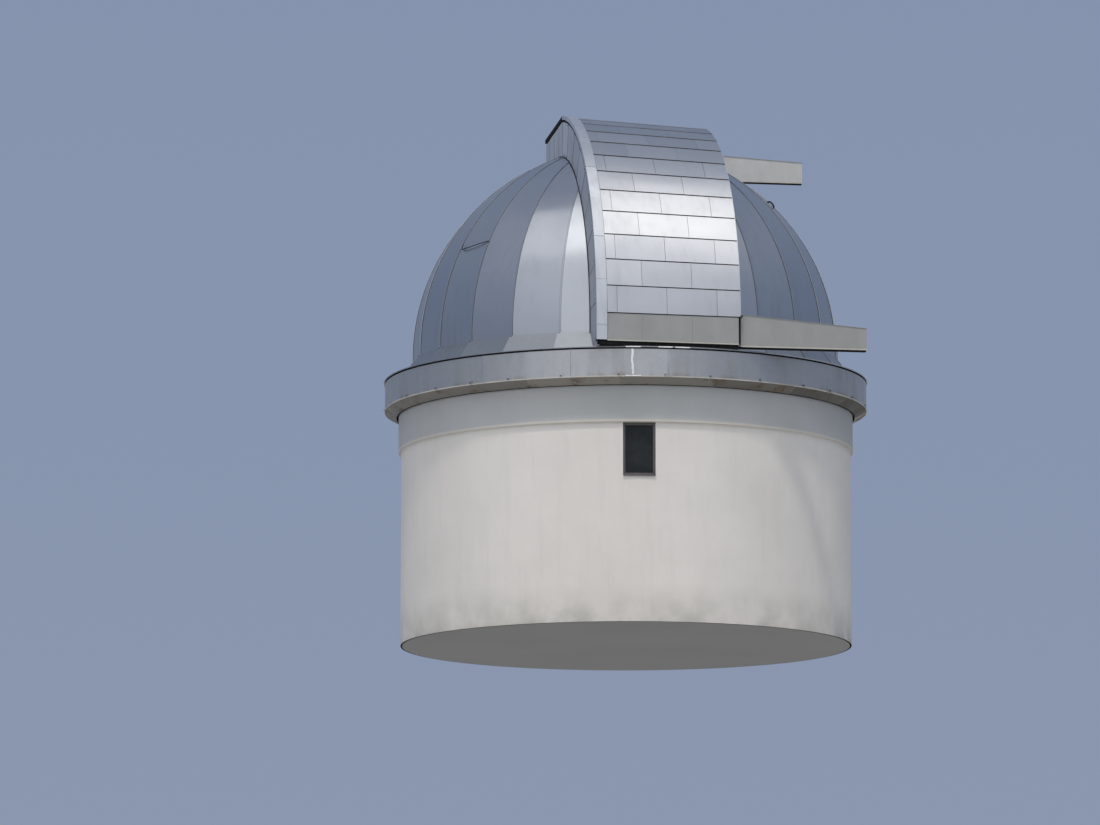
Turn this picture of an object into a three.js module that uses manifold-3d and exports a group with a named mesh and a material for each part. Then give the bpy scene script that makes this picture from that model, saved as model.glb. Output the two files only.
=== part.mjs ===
// An observatory dome: a metal-clad hemisphere of flat gores that turns on a round rendered wall,
// with one arched shutter that slides sideways along two rails.
// Millimetres, +Z up. The origin is the middle of the floor slab's underside, on the axis of the dome.
// The shutter faces -Y at rest, and slides towards +X.

import * as THREE from "three";
import { mergeVertices } from "three/addons/utils/BufferGeometryUtils.js";
import Module from "manifold-3d";

const wasm = await Module();
wasm.setup();

// Fit between pieces that touch, and between pieces that move past each other.
const FIT = 0.3;
const RUN = 12;

// Round wall.
const WALL_OUTER_R = 2640;
const BAND_OUTER_R = 2670;
const WALL_INNER_R = 2490;
const LEDGE_Z = 2268;
const WALL_TOP_Z = 2840;
const WALL_SECTIONS = 6;
const FLOOR_THICK = 120;

// Window just under the projecting band.
const WINDOW_AZIMUTH = -6.8;
const WINDOW_WIDTH = 370;
const WINDOW_HEIGHT = 600;
const WINDOW_FRAME = 28;
const WINDOW_DEPTH = 70;
const WINDOW_SETBACK = 45;
const GLASS_THICK = 8;

// Rollers that carry the dome.
const ROLLERS = 6;
const ROLLER_R = 72;
const ROLLER_WIDTH = 46;
const TRACK_R = 2560;
const TRACK_WIDTH = 60;
const TRACK_HEIGHT = 60;

// Dome shell.
const SPRING_Z = 3400;
const DOME_R = 2500;
const SHELL_THICK = 30;
const GORES = 26;
const GORE_ANGLE = 360 / GORES;
const ARC_STEPS = 18;
const FOOT_TOP = -56;
const FOOT_R = 2680;
const SLIT_HALF = DOME_R * Math.sin(THREE.MathUtils.degToRad(GORE_ANGLE));
const SLIT_REAR = 560;
const SILL_TOP = 50;

// Skirt ring round the foot of the dome, with its height measured from the springing.
const RING_TOP = -290;
const RING_BOTTOM = -635;
const RING_R = 2833;
const RING_INNER_R = 2450;
const SOFFIT_R = 2692;
const SOFFIT_BOTTOM = -710;
const RING_SHEET = 14;
const RING_SECTIONS = 6;
const TRACK_SECTIONS = 4;
const ROUND_STEPS = 72;

// Shutter: a slightly tapered arch, higher at its left side.
const SHUTTER_HALF = 840;
const SHUTTER_R = 2790;
const SHUTTER_TAPER = 0.05;
const SHUTTER_THICK = 30;
const ARC_START = 1.6;
const COURSE_ANGLE = 6.5;
const COURSES = 12;
const PANEL_COURSES = 3;
const STEPS_PER_COURSE = 2;
const ARC_END = ARC_START + COURSES * COURSE_ANGLE;
const SHUTTER_REAR = 700;
const TOP_DROP = 55;
const APRON_BOTTOM = -250;
const END_PLATE_BOTTOM = 2425;
const RIM_WIDTH = 122;
const RIM_THICK = 25;
const SHOE_WIDTH = 90;
const SHOE_HEIGHT = 46;
const SHOE_X = 600;
const GUIDE_X = [-700, -150];
const GUIDE_HEIGHT = 22;

// Rails and the upstands at both sides of the slit.
const LOWER_RAIL_END = 2310;
const UPPER_RAIL_END = 2290;
const RAIL_DEPTH = 60;
const LOWER_RAIL_FRONT = 2700;
const LOWER_RAIL_TOP = 120;
const LOWER_RAIL_TIP = -1;
const LOWER_RAIL_BOTTOM = -247;
const RAIL_FOOT_BACK = 20;
const RAIL_LIP = 8;
const RAIL_LIP_HEIGHT = 10;
const UPPER_RAIL_Y = 715;
const UPPER_RAIL_BOTTOM = 2318;
const UPPER_RAIL_TOP = 2650;
const UPPER_RAIL_TIP = 2568;
const UPSTAND_THICK = 30;
const UPSTAND_OUT = SHUTTER_HALF - 13;
const UPSTAND_CUT_R = 2200;

const plaster = surface(0xcfccc4, 0.85, 0);
const concrete = surface(0x9a9894, 0.9, 0);
const sheetMetal = surface(0xa4aab3, 0.35, 0.9);
const galvanised = surface(0x8f9499, 0.5, 0.8);
const railPaint = surface(0xa9a79f, 0.55, 0.3);
const darkSteel = surface(0x4a4c4f, 0.5, 0.7);
const frameMetal = surface(0x6c6e70, 0.5, 0.6);
const glass = surface(0x20262a, 0.1, 0);

function surface(color, roughness, metalness) {
  return () => new THREE.MeshStandardMaterial({ color, roughness, metalness });
}

// Solid and mesh conversions.
function solidFrom(geometry) {
  const bare = geometry.index ? geometry.toNonIndexed() : geometry.clone();
  const plain = new THREE.BufferGeometry();
  plain.setAttribute("position", bare.getAttribute("position"));
  const merged = mergeVertices(plain, 1e-3);
  const vertProperties = new Float32Array(merged.attributes.position.array);
  const triVerts = new Uint32Array(merged.index.array);
  return new wasm.Manifold(new wasm.Mesh({ numProp: 3, vertProperties, triVerts }));
}

function geometryFrom(solid) {
  const made = solid.getMesh();
  const geometry = new THREE.BufferGeometry();
  geometry.setAttribute("position", new THREE.BufferAttribute(new Float32Array(made.vertProperties), 3));
  geometry.setIndex(new THREE.BufferAttribute(new Uint32Array(made.triVerts), 1));
  return geometry;
}

function addPiece(group, name, solid, material) {
  const mesh = new THREE.Mesh(geometryFrom(solid), material());
  mesh.geometry.computeVertexNormals();
  mesh.name = name;
  group.add(mesh);
}

// Basic solids.
function block(low, high) {
  const geometry = new THREE.BoxGeometry(high[0] - low[0], high[1] - low[1], high[2] - low[2]);
  geometry.translate((low[0] + high[0]) / 2, (low[1] + high[1]) / 2, (low[2] + high[2]) / 2);
  return solidFrom(geometry);
}

// A closed profile of [radius, height] points, listed outer side first going up, turned about Z.
function turned(profile, steps) {
  const points = profile.map(([radius, height]) => new THREE.Vector2(radius, height));
  points.push(points[0].clone());
  const geometry = new THREE.LatheGeometry(points, steps);
  geometry.rotateX(Math.PI / 2);
  const solid = solidFrom(geometry);
  return solid.volume() < 0 ? solidFrom(insideOut(geometry)) : solid;
}

function insideOut(geometry) {
  const flipped = geometry.toNonIndexed();
  const place = flipped.getAttribute("position");
  for (let i = 0; i < place.count; i += 3) {
    const second = new THREE.Vector3().fromBufferAttribute(place, i + 1);
    const third = new THREE.Vector3().fromBufferAttribute(place, i + 2);
    place.setXYZ(i + 1, third.x, third.y, third.z);
    place.setXYZ(i + 2, second.x, second.y, second.z);
  }
  return flipped;
}

// Azimuth 0 points to -Y, and 90 to +X.
function planPoint(radius, azimuth) {
  const angle = THREE.MathUtils.degToRad(azimuth);
  return new THREE.Vector2(radius * Math.sin(angle), -radius * Math.cos(angle));
}

// A tall wedge between two azimuths, drawn in by half a fit on each of its two sides.
function wedge(from, to) {
  const reach = 9000;
  const half = (to - from) / 2;
  const draw = FIT / 2 / Math.sin(THREE.MathUtils.degToRad(half));
  const apex = planPoint(draw, (from + to) / 2);
  const shape = new THREE.Shape([
    apex,
    planPoint(reach, from).add(apex),
    planPoint(reach / Math.cos(THREE.MathUtils.degToRad(half)), (from + to) / 2).add(apex),
    planPoint(reach, to).add(apex),
  ]);
  const geometry = new THREE.ExtrudeGeometry(shape, { depth: 8000, bevelEnabled: false });
  geometry.translate(0, 0, -500);
  return solidFrom(geometry);
}

// A plate that stands across X: an outline of [y, z] points made thick from x0 to x1.
function platedX(outline, x0, x1) {
  return loft(
    outline.map(([y, z]) => new THREE.Vector3(x0, y, z)),
    outline.map(([y, z]) => new THREE.Vector3(x1, y, z)),
  );
}

// A closed solid between two matching flat outlines.
function loft(start, end) {
  const count = start.length;
  const flat = start.map((p) => new THREE.Vector2(p.y, p.z));
  const caps = THREE.ShapeUtils.triangulateShape(flat, []);
  const points = [];
  const triangle = (a, b, c) => points.push(a, b, c);
  for (const [a, b, c] of caps) {
    triangle(start[a], start[c], start[b]);
    triangle(end[a], end[b], end[c]);
  }
  const turn = THREE.ShapeUtils.isClockWise(flat) ? -1 : 1;
  for (let i = 0; i < count; i++) {
    const j = (i + 1) % count;
    if (turn > 0) {
      triangle(start[i], start[j], end[j]);
      triangle(start[i], end[j], end[i]);
    } else {
      triangle(start[i], end[j], start[j]);
      triangle(start[i], end[i], end[j]);
    }
  }
  const geometry = new THREE.BufferGeometry().setFromPoints(points);
  const solid = solidFrom(geometry);
  return solid.volume() < 0 ? solidFrom(insideOut(geometry)) : solid;
}

// Turns a solid about Z, so that what was made at azimuth 0 lies at the azimuth asked for.
function atAzimuth(geometry, azimuth) {
  return geometry.rotateZ(THREE.MathUtils.degToRad(azimuth));
}

// Fixed part: wall, floor, window and rollers.
function windowOpening(grow) {
  const half = WINDOW_WIDTH / 2 + grow;
  const geometry = new THREE.BoxGeometry(half * 2, 500, WINDOW_HEIGHT + 2 * grow);
  geometry.translate(0, -(WALL_INNER_R + WALL_OUTER_R) / 2, LEDGE_Z - WINDOW_HEIGHT / 2);
  return solidFrom(atAzimuth(geometry, WINDOW_AZIMUTH));
}

function addWall(group) {
  const whole = turned(
    [
      [WALL_OUTER_R, 0],
      [WALL_OUTER_R, LEDGE_Z],
      [BAND_OUTER_R, LEDGE_Z],
      [BAND_OUTER_R, WALL_TOP_Z],
      [WALL_INNER_R, WALL_TOP_Z],
      [WALL_INNER_R, 0],
    ],
    ROUND_STEPS,
  );
  const span = 360 / WALL_SECTIONS;
  for (let i = 0; i < WALL_SECTIONS; i++) {
    const middle = i * span;
    let section = whole.intersect(wedge(middle - span / 2, middle + span / 2));
    if (i === 0) section = section.subtract(windowOpening(0));
    addPiece(group, `wall_section_${i + 1}`, section, plaster);
  }
}

function addFloor(group) {
  const steps = ROUND_STEPS;
  const radius = WALL_INNER_R - FIT;
  const geometry = new THREE.CylinderGeometry(radius, radius, FLOOR_THICK, steps);
  geometry.rotateX(Math.PI / 2);
  geometry.translate(0, 0, FLOOR_THICK / 2);
  addPiece(group, "floor_slab", solidFrom(geometry), concrete);
}

// A box in the window, given by its half width, its inset from top and bottom, and its depth range.
function windowBox(half, inset, front, back) {
  const geometry = new THREE.BoxGeometry(2 * half, back - front, WINDOW_HEIGHT - 2 * inset);
  geometry.translate(0, (front + back) / 2, LEDGE_Z - WINDOW_HEIGHT / 2);
  return atAzimuth(geometry, WINDOW_AZIMUTH);
}

// One fixed pane stands in the middle of the frame.
function addWindow(group) {
  const front = -(WALL_OUTER_R - WINDOW_SETBACK);
  const back = front + WINDOW_DEPTH;
  const middle = (front + back) / 2;
  const half = WINDOW_WIDTH / 2;
  const outer = solidFrom(windowBox(half - FIT, FIT, front, back));
  const hole = solidFrom(windowBox(half - WINDOW_FRAME, WINDOW_FRAME, front - 10, back + 10));
  const inset = WINDOW_FRAME + FIT;
  const pane = windowBox(half - inset, inset, middle - GLASS_THICK / 2, middle + GLASS_THICK / 2);
  addPiece(group, "window_frame", outer.subtract(hole), frameMetal);
  addPiece(group, "window_pane", solidFrom(pane), glass);
}

function addRollers(group) {
  const trackBottom = SPRING_Z + RING_TOP - RING_SHEET - TRACK_HEIGHT - FIT;
  const centre = trackBottom - FIT - ROLLER_R;
  for (let i = 0; i < ROLLERS; i++) {
    const wheel = new THREE.CylinderGeometry(ROLLER_R, ROLLER_R, ROLLER_WIDTH, 32);
    wheel.translate(0, -TRACK_R, centre);
    const axle = new THREE.CylinderGeometry(14, 14, ROLLER_WIDTH + 50, 16);
    axle.translate(0, -TRACK_R, centre);
    let solid = solidFrom(atAzimuth(wheel, 0)).add(solidFrom(axle));
    for (const side of [-1, 1]) {
      const cheek = new THREE.BoxGeometry(80, 10, centre + 26 - WALL_TOP_Z);
      const lift = (centre + 26 + WALL_TOP_Z) / 2;
      cheek.translate(0, -TRACK_R + side * (ROLLER_WIDTH / 2 + 12), lift);
      solid = solid.add(solidFrom(cheek));
    }
    const plate = new THREE.BoxGeometry(150, 110, 12);
    plate.translate(0, -TRACK_R, WALL_TOP_Z + 6);
    solid = solid.add(solidFrom(plate));
    const placed = atAzimuth(geometryFrom(solid), (i + 0.5) * (360 / ROLLERS));
    addPiece(group, `support_roller_${i + 1}`, solidFrom(placed), darkSteel);
  }
}

// Turning part: gores, skirt ring, track, upstands and rails.
function domeProfile(radius, footRadius, top) {
  const points = [[footRadius, SPRING_Z + RING_TOP]];
  points.push([radius, SPRING_Z + top]);
  for (let i = 0; i < ARC_STEPS; i++) {
    const rise = (i / ARC_STEPS) * (Math.PI / 2);
    points.push([radius * Math.cos(rise), SPRING_Z + radius * Math.sin(rise)]);
  }
  return points;
}

function domeShell() {
  const outer = domeProfile(DOME_R, FOOT_R, FOOT_TOP);
  const inner = domeProfile(DOME_R - SHELL_THICK, FOOT_R - SHELL_THICK - 8, FOOT_TOP - 6);
  outer.push([0, SPRING_Z + DOME_R]);
  inner.push([0, SPRING_Z + DOME_R - SHELL_THICK]);
  const profile = outer.concat(inner.reverse());
  const points = profile.map(([radius, height]) => new THREE.Vector2(radius, height));
  points.push(points[0].clone());
  const geometry = new THREE.LatheGeometry(points, GORES);
  geometry.rotateX(Math.PI / 2);
  const solid = solidFrom(geometry);
  return solid.volume() < 0 ? solidFrom(insideOut(geometry)) : solid;
}

// Everything inside the outer face of the gores, a fit larger, down to the skirt ring.
function domeEnvelope() {
  const profile = domeProfile(DOME_R + FIT, FOOT_R + FIT, FOOT_TOP);
  profile.push([0, SPRING_Z + DOME_R + FIT]);
  profile.push([0, SPRING_Z + RING_TOP - FIT]);
  profile.push([FOOT_R + FIT, SPRING_Z + RING_TOP - FIT]);
  const points = profile.map(([radius, height]) => new THREE.Vector2(radius, height));
  points.push(points[0].clone());
  const geometry = new THREE.LatheGeometry(points, GORES);
  geometry.rotateX(Math.PI / 2);
  const solid = solidFrom(geometry);
  return solid.volume() < 0 ? solidFrom(insideOut(geometry)) : solid;
}

function slitCut() {
  const over = SPRING_Z + DOME_R + 100;
  return block([-SLIT_HALF, -DOME_R - 300, SPRING_Z + SILL_TOP], [SLIT_HALF, SLIT_REAR, over]);
}

// Each sector is a run of whole gores, given by the numbers of its first and last seam.
function addShell(group) {
  const open = domeShell().subtract(slitCut());
  const sectors = [
    ["gores_left_front", -4, -1],
    ["gores_left_middle", -7, -4],
    ["gores_left_rear", -10, -7],
    ["gores_rear", 10, 16],
    ["gores_right_rear", 7, 10],
    ["gores_right_middle", 4, 7],
    ["gores_right_front", 1, 4],
    ["slit_sill", -1, 1],
  ];
  for (const [name, from, to] of sectors) {
    addPiece(group, name, open.intersect(wedge(from * GORE_ANGLE, to * GORE_ANGLE)), sheetMetal);
  }
}

function addSkirtRing(group) {
  const s = RING_SHEET;
  const whole = turned(
    [
      [SOFFIT_R, SPRING_Z + SOFFIT_BOTTOM],
      [RING_R, SPRING_Z + RING_BOTTOM],
      [RING_R, SPRING_Z + RING_TOP],
      [RING_INNER_R, SPRING_Z + RING_TOP],
      [RING_INNER_R, SPRING_Z + RING_TOP - s],
      [RING_R - s, SPRING_Z + RING_TOP - s],
      [RING_R - s, SPRING_Z + RING_BOTTOM + s / 2],
      [SOFFIT_R, SPRING_Z + SOFFIT_BOTTOM + s],
    ],
    ROUND_STEPS,
  );
  const span = 360 / RING_SECTIONS;
  for (let i = 0; i < RING_SECTIONS; i++) {
    const section = whole.intersect(wedge((i - 0.5) * span, (i + 0.5) * span));
    addPiece(group, `skirt_ring_${i + 1}`, section, galvanised);
  }
}

function addTrack(group) {
  const top = SPRING_Z + RING_TOP - RING_SHEET - FIT;
  const inside = TRACK_R - TRACK_WIDTH / 2;
  const outside = TRACK_R + TRACK_WIDTH / 2;
  const whole = turned(
    [
      [outside, top - TRACK_HEIGHT],
      [outside, top],
      [inside, top],
      [inside, top - TRACK_HEIGHT],
    ],
    ROUND_STEPS,
  );
  const span = 360 / TRACK_SECTIONS;
  for (let i = 0; i < TRACK_SECTIONS; i++) {
    addPiece(group, `track_rail_${i + 1}`, whole.intersect(wedge(i * span, (i + 1) * span)), darkSteel);
  }
}

// A bar along X with an upright front, its top level as far as the shutter and falling to the free end.
function railBar(left, end, front, depth, bottom, top, tip) {
  const at = (x, high) => [
    new THREE.Vector3(x, front, SPRING_Z + bottom),
    new THREE.Vector3(x, front + depth, SPRING_Z + bottom),
    new THREE.Vector3(x, front + depth, SPRING_Z + high),
    new THREE.Vector3(x, front, SPRING_Z + high),
  ];
  const level = loft(at(left, top), at(SHUTTER_HALF, top));
  return level.add(loft(at(SHUTTER_HALF, top), at(end, tip)));
}

// The lower rail stands on the skirt ring by a recessed foot, and has a lip that the shutter's shoes run on.
function lowerRail(envelope) {
  const left = -(UPSTAND_OUT - UPSTAND_THICK) + FIT;
  const front = -LOWER_RAIL_FRONT;
  const bottom = LOWER_RAIL_BOTTOM;
  const bar = railBar(left, LOWER_RAIL_END, front, RAIL_DEPTH, bottom, LOWER_RAIL_TOP, LOWER_RAIL_TIP);
  const footEnd = Math.sqrt(RING_R ** 2 - LOWER_RAIL_FRONT ** 2) - RAIL_FOOT_BACK;
  const foot = block(
    [left, front + RAIL_FOOT_BACK, SPRING_Z + RING_TOP],
    [footEnd, front + RAIL_DEPTH, SPRING_Z + bottom + 1],
  );
  const lip = block(
    [left, front - RAIL_LIP, SPRING_Z + bottom],
    [LOWER_RAIL_END, front + 1, SPRING_Z + bottom + RAIL_LIP_HEIGHT],
  );
  return bar.add(foot).add(lip).subtract(envelope);
}

function upperRail(envelope) {
  const left = -(UPSTAND_OUT - UPSTAND_THICK);
  const bar = railBar(
    left,
    UPPER_RAIL_END,
    UPPER_RAIL_Y,
    RAIL_DEPTH,
    UPPER_RAIL_BOTTOM,
    UPPER_RAIL_TOP,
    UPPER_RAIL_TIP,
  );
  return bar.subtract(envelope);
}

// The outline of an upstand, from the skirt ring up the front, over the top and back to the rear.
function upstandOutline(radius, top, rear) {
  const outline = [];
  outline.push([rear, SPRING_Z + UPSTAND_CUT_R * 0.9]);
  outline.push([rear, SPRING_Z + top - TOP_DROP]);
  const steps = COURSES * STEPS_PER_COURSE;
  for (let i = steps; i >= 0; i--) {
    const rise = THREE.MathUtils.degToRad(ARC_START + (i * COURSE_ANGLE) / STEPS_PER_COURSE);
    const z = Math.min(radius * Math.sin(rise), top);
    outline.push([-radius * Math.cos(rise), SPRING_Z + z]);
  }
  outline.push([-radius * Math.cos(THREE.MathUtils.degToRad(ARC_START)), SPRING_Z + RING_TOP]);
  outline.push([-UPSTAND_CUT_R, SPRING_Z + RING_TOP]);
  return outline;
}

function addUpstands(group, envelope) {
  const inside = UPSTAND_OUT - UPSTAND_THICK;
  const skirt = block([-3000, -3000, 0], [3000, 3000, SPRING_Z + RING_TOP]);
  const railNotch = block(
    [0, -3000, SPRING_Z + RING_TOP - FIT],
    [3000, -LOWER_RAIL_FRONT + RAIL_DEPTH + FIT, SPRING_Z + LOWER_RAIL_TOP + FIT],
  );
  for (const [name, side, rear] of [["upstand_left", -1, SHUTTER_REAR], ["upstand_right", 1, SHUTTER_REAR - 45]]) {
    const radius = shutterRadius(side * UPSTAND_OUT) - SHUTTER_THICK - RUN;
    const top = radius * Math.sin(THREE.MathUtils.degToRad(ARC_END));
    const edges = side < 0 ? [-UPSTAND_OUT, -inside] : [inside, UPSTAND_OUT];
    let plate = platedX(upstandOutline(radius, top, rear), ...edges);
    plate = plate.subtract(envelope).subtract(skirt);
    if (side > 0) plate = plate.subtract(railNotch);
    addPiece(group, name, plate, sheetMetal);
  }
}

// Sliding part: the shutter.
function shutterRadius(x) {
  return SHUTTER_R - SHUTTER_TAPER * x;
}

// The cross-section of the shutter's skin at x, between two arc angles, as points on a tapered arch.
function arcSection(x, from, to, out, thick) {
  const radius = shutterRadius(x) + out;
  const steps = Math.max(1, Math.round(((to - from) / COURSE_ANGLE) * STEPS_PER_COURSE));
  const outer = [];
  const inner = [];
  for (let i = 0; i <= steps; i++) {
    const rise = THREE.MathUtils.degToRad(from + ((to - from) * i) / steps);
    outer.push(new THREE.Vector3(x, -radius * Math.cos(rise), SPRING_Z + radius * Math.sin(rise)));
    const deep = radius - thick;
    inner.push(new THREE.Vector3(x, -deep * Math.cos(rise), SPRING_Z + deep * Math.sin(rise)));
  }
  return outer.concat(inner.reverse());
}

function addShutterPanels(group) {
  const gap = THREE.MathUtils.radToDeg(FIT / SHUTTER_R);
  for (let first = 0; first < COURSES; first += PANEL_COURSES) {
    const from = ARC_START + first * COURSE_ANGLE + gap;
    const to = ARC_START + (first + PANEL_COURSES) * COURSE_ANGLE;
    const panel = loft(
      arcSection(-SHUTTER_HALF, from, to, 0, SHUTTER_THICK),
      arcSection(SHUTTER_HALF, from, to, 0, SHUTTER_THICK),
    );
    addPiece(group, `shutter_panel_${first / PANEL_COURSES + 1}`, panel, sheetMetal);
  }
}

function apronSection(x) {
  const rise = THREE.MathUtils.degToRad(ARC_START);
  const radius = shutterRadius(x);
  const front = -radius * Math.cos(rise);
  const back = -(radius - SHUTTER_THICK) * Math.cos(rise);
  return [
    new THREE.Vector3(x, front, SPRING_Z + APRON_BOTTOM),
    new THREE.Vector3(x, back, SPRING_Z + APRON_BOTTOM),
    new THREE.Vector3(x, back, SPRING_Z + (radius - SHUTTER_THICK) * Math.sin(rise)),
    new THREE.Vector3(x, front, SPRING_Z + radius * Math.sin(rise)),
  ];
}

// The apron carries two shoes that run on the lower rail's lip.
function addApron(group) {
  let apron = loft(apronSection(-SHUTTER_HALF), apronSection(SHUTTER_HALF));
  const lipTop = SPRING_Z + LOWER_RAIL_BOTTOM + RAIL_LIP_HEIGHT;
  for (const x of [-SHOE_X, SHOE_X]) {
    const behind = -(shutterRadius(x) - SHUTTER_THICK) - SHUTTER_THICK / 2;
    const shoe = block(
      [x - SHOE_WIDTH / 2, behind, lipTop + FIT],
      [x + SHOE_WIDTH / 2, -LOWER_RAIL_FRONT - 2, lipTop + FIT + SHOE_HEIGHT],
    );
    apron = apron.add(shoe);
  }
  addPiece(group, "shutter_apron", apron, sheetMetal);
}

function topHeight(x) {
  return shutterRadius(x) * Math.sin(THREE.MathUtils.degToRad(ARC_END));
}

function addTop(group) {
  const section = (x) => {
    const rise = THREE.MathUtils.degToRad(ARC_END);
    const radius = shutterRadius(x);
    const top = SPRING_Z + topHeight(x);
    const front = -radius * Math.cos(rise) + FIT;
    const frontLow = -(radius - SHUTTER_THICK) * Math.cos(rise) + FIT;
    return [
      new THREE.Vector3(x, front, top),
      new THREE.Vector3(x, frontLow, top - SHUTTER_THICK),
      new THREE.Vector3(x, SHUTTER_REAR, top - TOP_DROP - SHUTTER_THICK),
      new THREE.Vector3(x, SHUTTER_REAR, top - TOP_DROP),
    ];
  };
  addPiece(group, "shutter_top", loft(section(-SHUTTER_HALF), section(SHUTTER_HALF)), sheetMetal);
}

// The rear plate carries two guides that lean on the upper rail's face.
function addEndPlate(group) {
  const left = -(UPSTAND_OUT - UPSTAND_THICK) + 6;
  const section = (x) => {
    const top = SPRING_Z + topHeight(x) - TOP_DROP - SHUTTER_THICK - FIT;
    const front = -shutterRadius(x) * Math.cos(THREE.MathUtils.degToRad(ARC_END));
    const rise = (SHUTTER_THICK * TOP_DROP) / (SHUTTER_REAR - front);
    return [
      new THREE.Vector3(x, SHUTTER_REAR - SHUTTER_THICK, SPRING_Z + END_PLATE_BOTTOM),
      new THREE.Vector3(x, SHUTTER_REAR, SPRING_Z + END_PLATE_BOTTOM),
      new THREE.Vector3(x, SHUTTER_REAR, top),
      new THREE.Vector3(x, SHUTTER_REAR - SHUTTER_THICK, top + rise),
    ];
  };
  let plate = loft(section(left), section(SHUTTER_HALF));
  const low = SPRING_Z + END_PLATE_BOTTOM;
  for (const x of GUIDE_X) {
    const guide = block(
      [x - SHOE_WIDTH / 2, SHUTTER_REAR - 5, low],
      [x + SHOE_WIDTH / 2, UPPER_RAIL_Y - FIT, low + GUIDE_HEIGHT],
    );
    plate = plate.add(guide);
  }
  addPiece(group, "shutter_end_plate", plate, sheetMetal);
}

// A raised strip along the shutter's left edge, over the arch.
function addRim(group) {
  const lift = FIT + RIM_THICK;
  const rim = loft(
    arcSection(-SHUTTER_HALF, ARC_START, ARC_END, lift, RIM_THICK),
    arcSection(-SHUTTER_HALF + RIM_WIDTH, ARC_START, ARC_END, lift, RIM_THICK),
  );
  addPiece(group, "shutter_rim", rim, sheetMetal);
}

function buildDome() {
  const group = new THREE.Group();
  addWall(group);
  addFloor(group);
  addWindow(group);
  addRollers(group);
  const envelope = domeEnvelope();
  addShell(group);
  addSkirtRing(group);
  addTrack(group);
  addUpstands(group, envelope);
  addPiece(group, "lower_rail", lowerRail(envelope), railPaint);
  addPiece(group, "upper_rail", upperRail(envelope), railPaint);
  addShutterPanels(group);
  addApron(group);
  addTop(group);
  addEndPlate(group);
  addRim(group);
  return group;
}

export default buildDome();
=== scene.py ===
from math import asin, atan2, cos, degrees, pi, radians, sin, sqrt, tau

import bmesh
import bpy
import numpy as np
from mathutils import Matrix, Vector, noise


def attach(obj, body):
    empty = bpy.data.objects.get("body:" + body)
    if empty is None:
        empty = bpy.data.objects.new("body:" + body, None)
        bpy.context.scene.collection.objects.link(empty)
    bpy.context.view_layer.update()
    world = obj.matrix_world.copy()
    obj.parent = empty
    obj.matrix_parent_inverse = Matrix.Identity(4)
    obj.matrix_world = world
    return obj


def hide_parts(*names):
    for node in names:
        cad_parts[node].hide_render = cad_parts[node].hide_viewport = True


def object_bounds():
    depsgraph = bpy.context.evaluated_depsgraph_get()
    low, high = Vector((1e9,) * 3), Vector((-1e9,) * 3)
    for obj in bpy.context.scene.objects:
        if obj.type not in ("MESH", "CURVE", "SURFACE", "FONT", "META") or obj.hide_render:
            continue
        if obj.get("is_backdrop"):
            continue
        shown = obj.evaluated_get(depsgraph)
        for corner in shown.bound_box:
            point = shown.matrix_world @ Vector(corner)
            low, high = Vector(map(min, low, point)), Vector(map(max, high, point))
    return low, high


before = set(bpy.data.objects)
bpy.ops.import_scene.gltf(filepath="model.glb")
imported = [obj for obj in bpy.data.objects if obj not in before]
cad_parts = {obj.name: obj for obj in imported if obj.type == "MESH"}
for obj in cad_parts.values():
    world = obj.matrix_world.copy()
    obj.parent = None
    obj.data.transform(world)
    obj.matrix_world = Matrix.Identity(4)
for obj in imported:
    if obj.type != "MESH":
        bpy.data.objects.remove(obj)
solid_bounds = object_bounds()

# Sizes that the solids have, in metres and degrees. Heights of the dome and the shutter count
# from the springing line, where the ball's middle lies. Heights of the wall count from its foot.
SPRING = 3.4
BALL_R = 2.5
GORES = 26
GORE_TURN = tau / GORES
FOOT_TOP, FOOT_R = -0.056, 2.68
RING_TOP, RING_FOOT = -0.290, -0.635
RING_R, RING_IN_R = 2.833, 2.45
SOFFIT_R, SOFFIT_LOW = 2.692, -0.710
SLIT_HALF = BALL_R * sin(GORE_TURN)
SLIT_REAR = 0.56
SILL_TOP = 0.05
UPSTAND_X = 0.827
WALL_R, BAND_R, WALL_IN_R = 2.64, 2.67, 2.49
LEDGE, WALL_TOP = 2.268, 2.84
WINDOW_AZ = radians(-6.8)
WINDOW_W, WINDOW_H = 0.37, 0.60
SHUTTER_HALF = 0.84
SHUTTER_R, SHUTTER_TAPER, SHUTTER_THICK = 2.79, 0.05, 0.03
ARC_START, COURSE, COURSES = 1.6, 6.5, 12
ARC_END = ARC_START + COURSES * COURSE
SHUTTER_REAR = 0.70
TOP_DROP = 0.055
RIM_W, RIM_THICK = 0.122, 0.025
RAIL_DEPTH = 0.06
LOW_RAIL_FRONT, LOW_RAIL_END = -2.70, 2.31
LOW_RAIL_LOW, LOW_RAIL_TOP, LOW_RAIL_TIP = -0.247, 0.120, -0.001
HIGH_RAIL_FRONT, HIGH_RAIL_END = 0.715, 2.29
HIGH_RAIL_LOW, HIGH_RAIL_TOP, HIGH_RAIL_TIP = 2.318, 2.650, 2.568
SHOE_X, SHOE_HALF = 0.6, 0.045
SHOE_LOW, SHOE_TOP = LOW_RAIL_LOW + 0.0103, LOW_RAIL_LOW + 0.056

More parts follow.
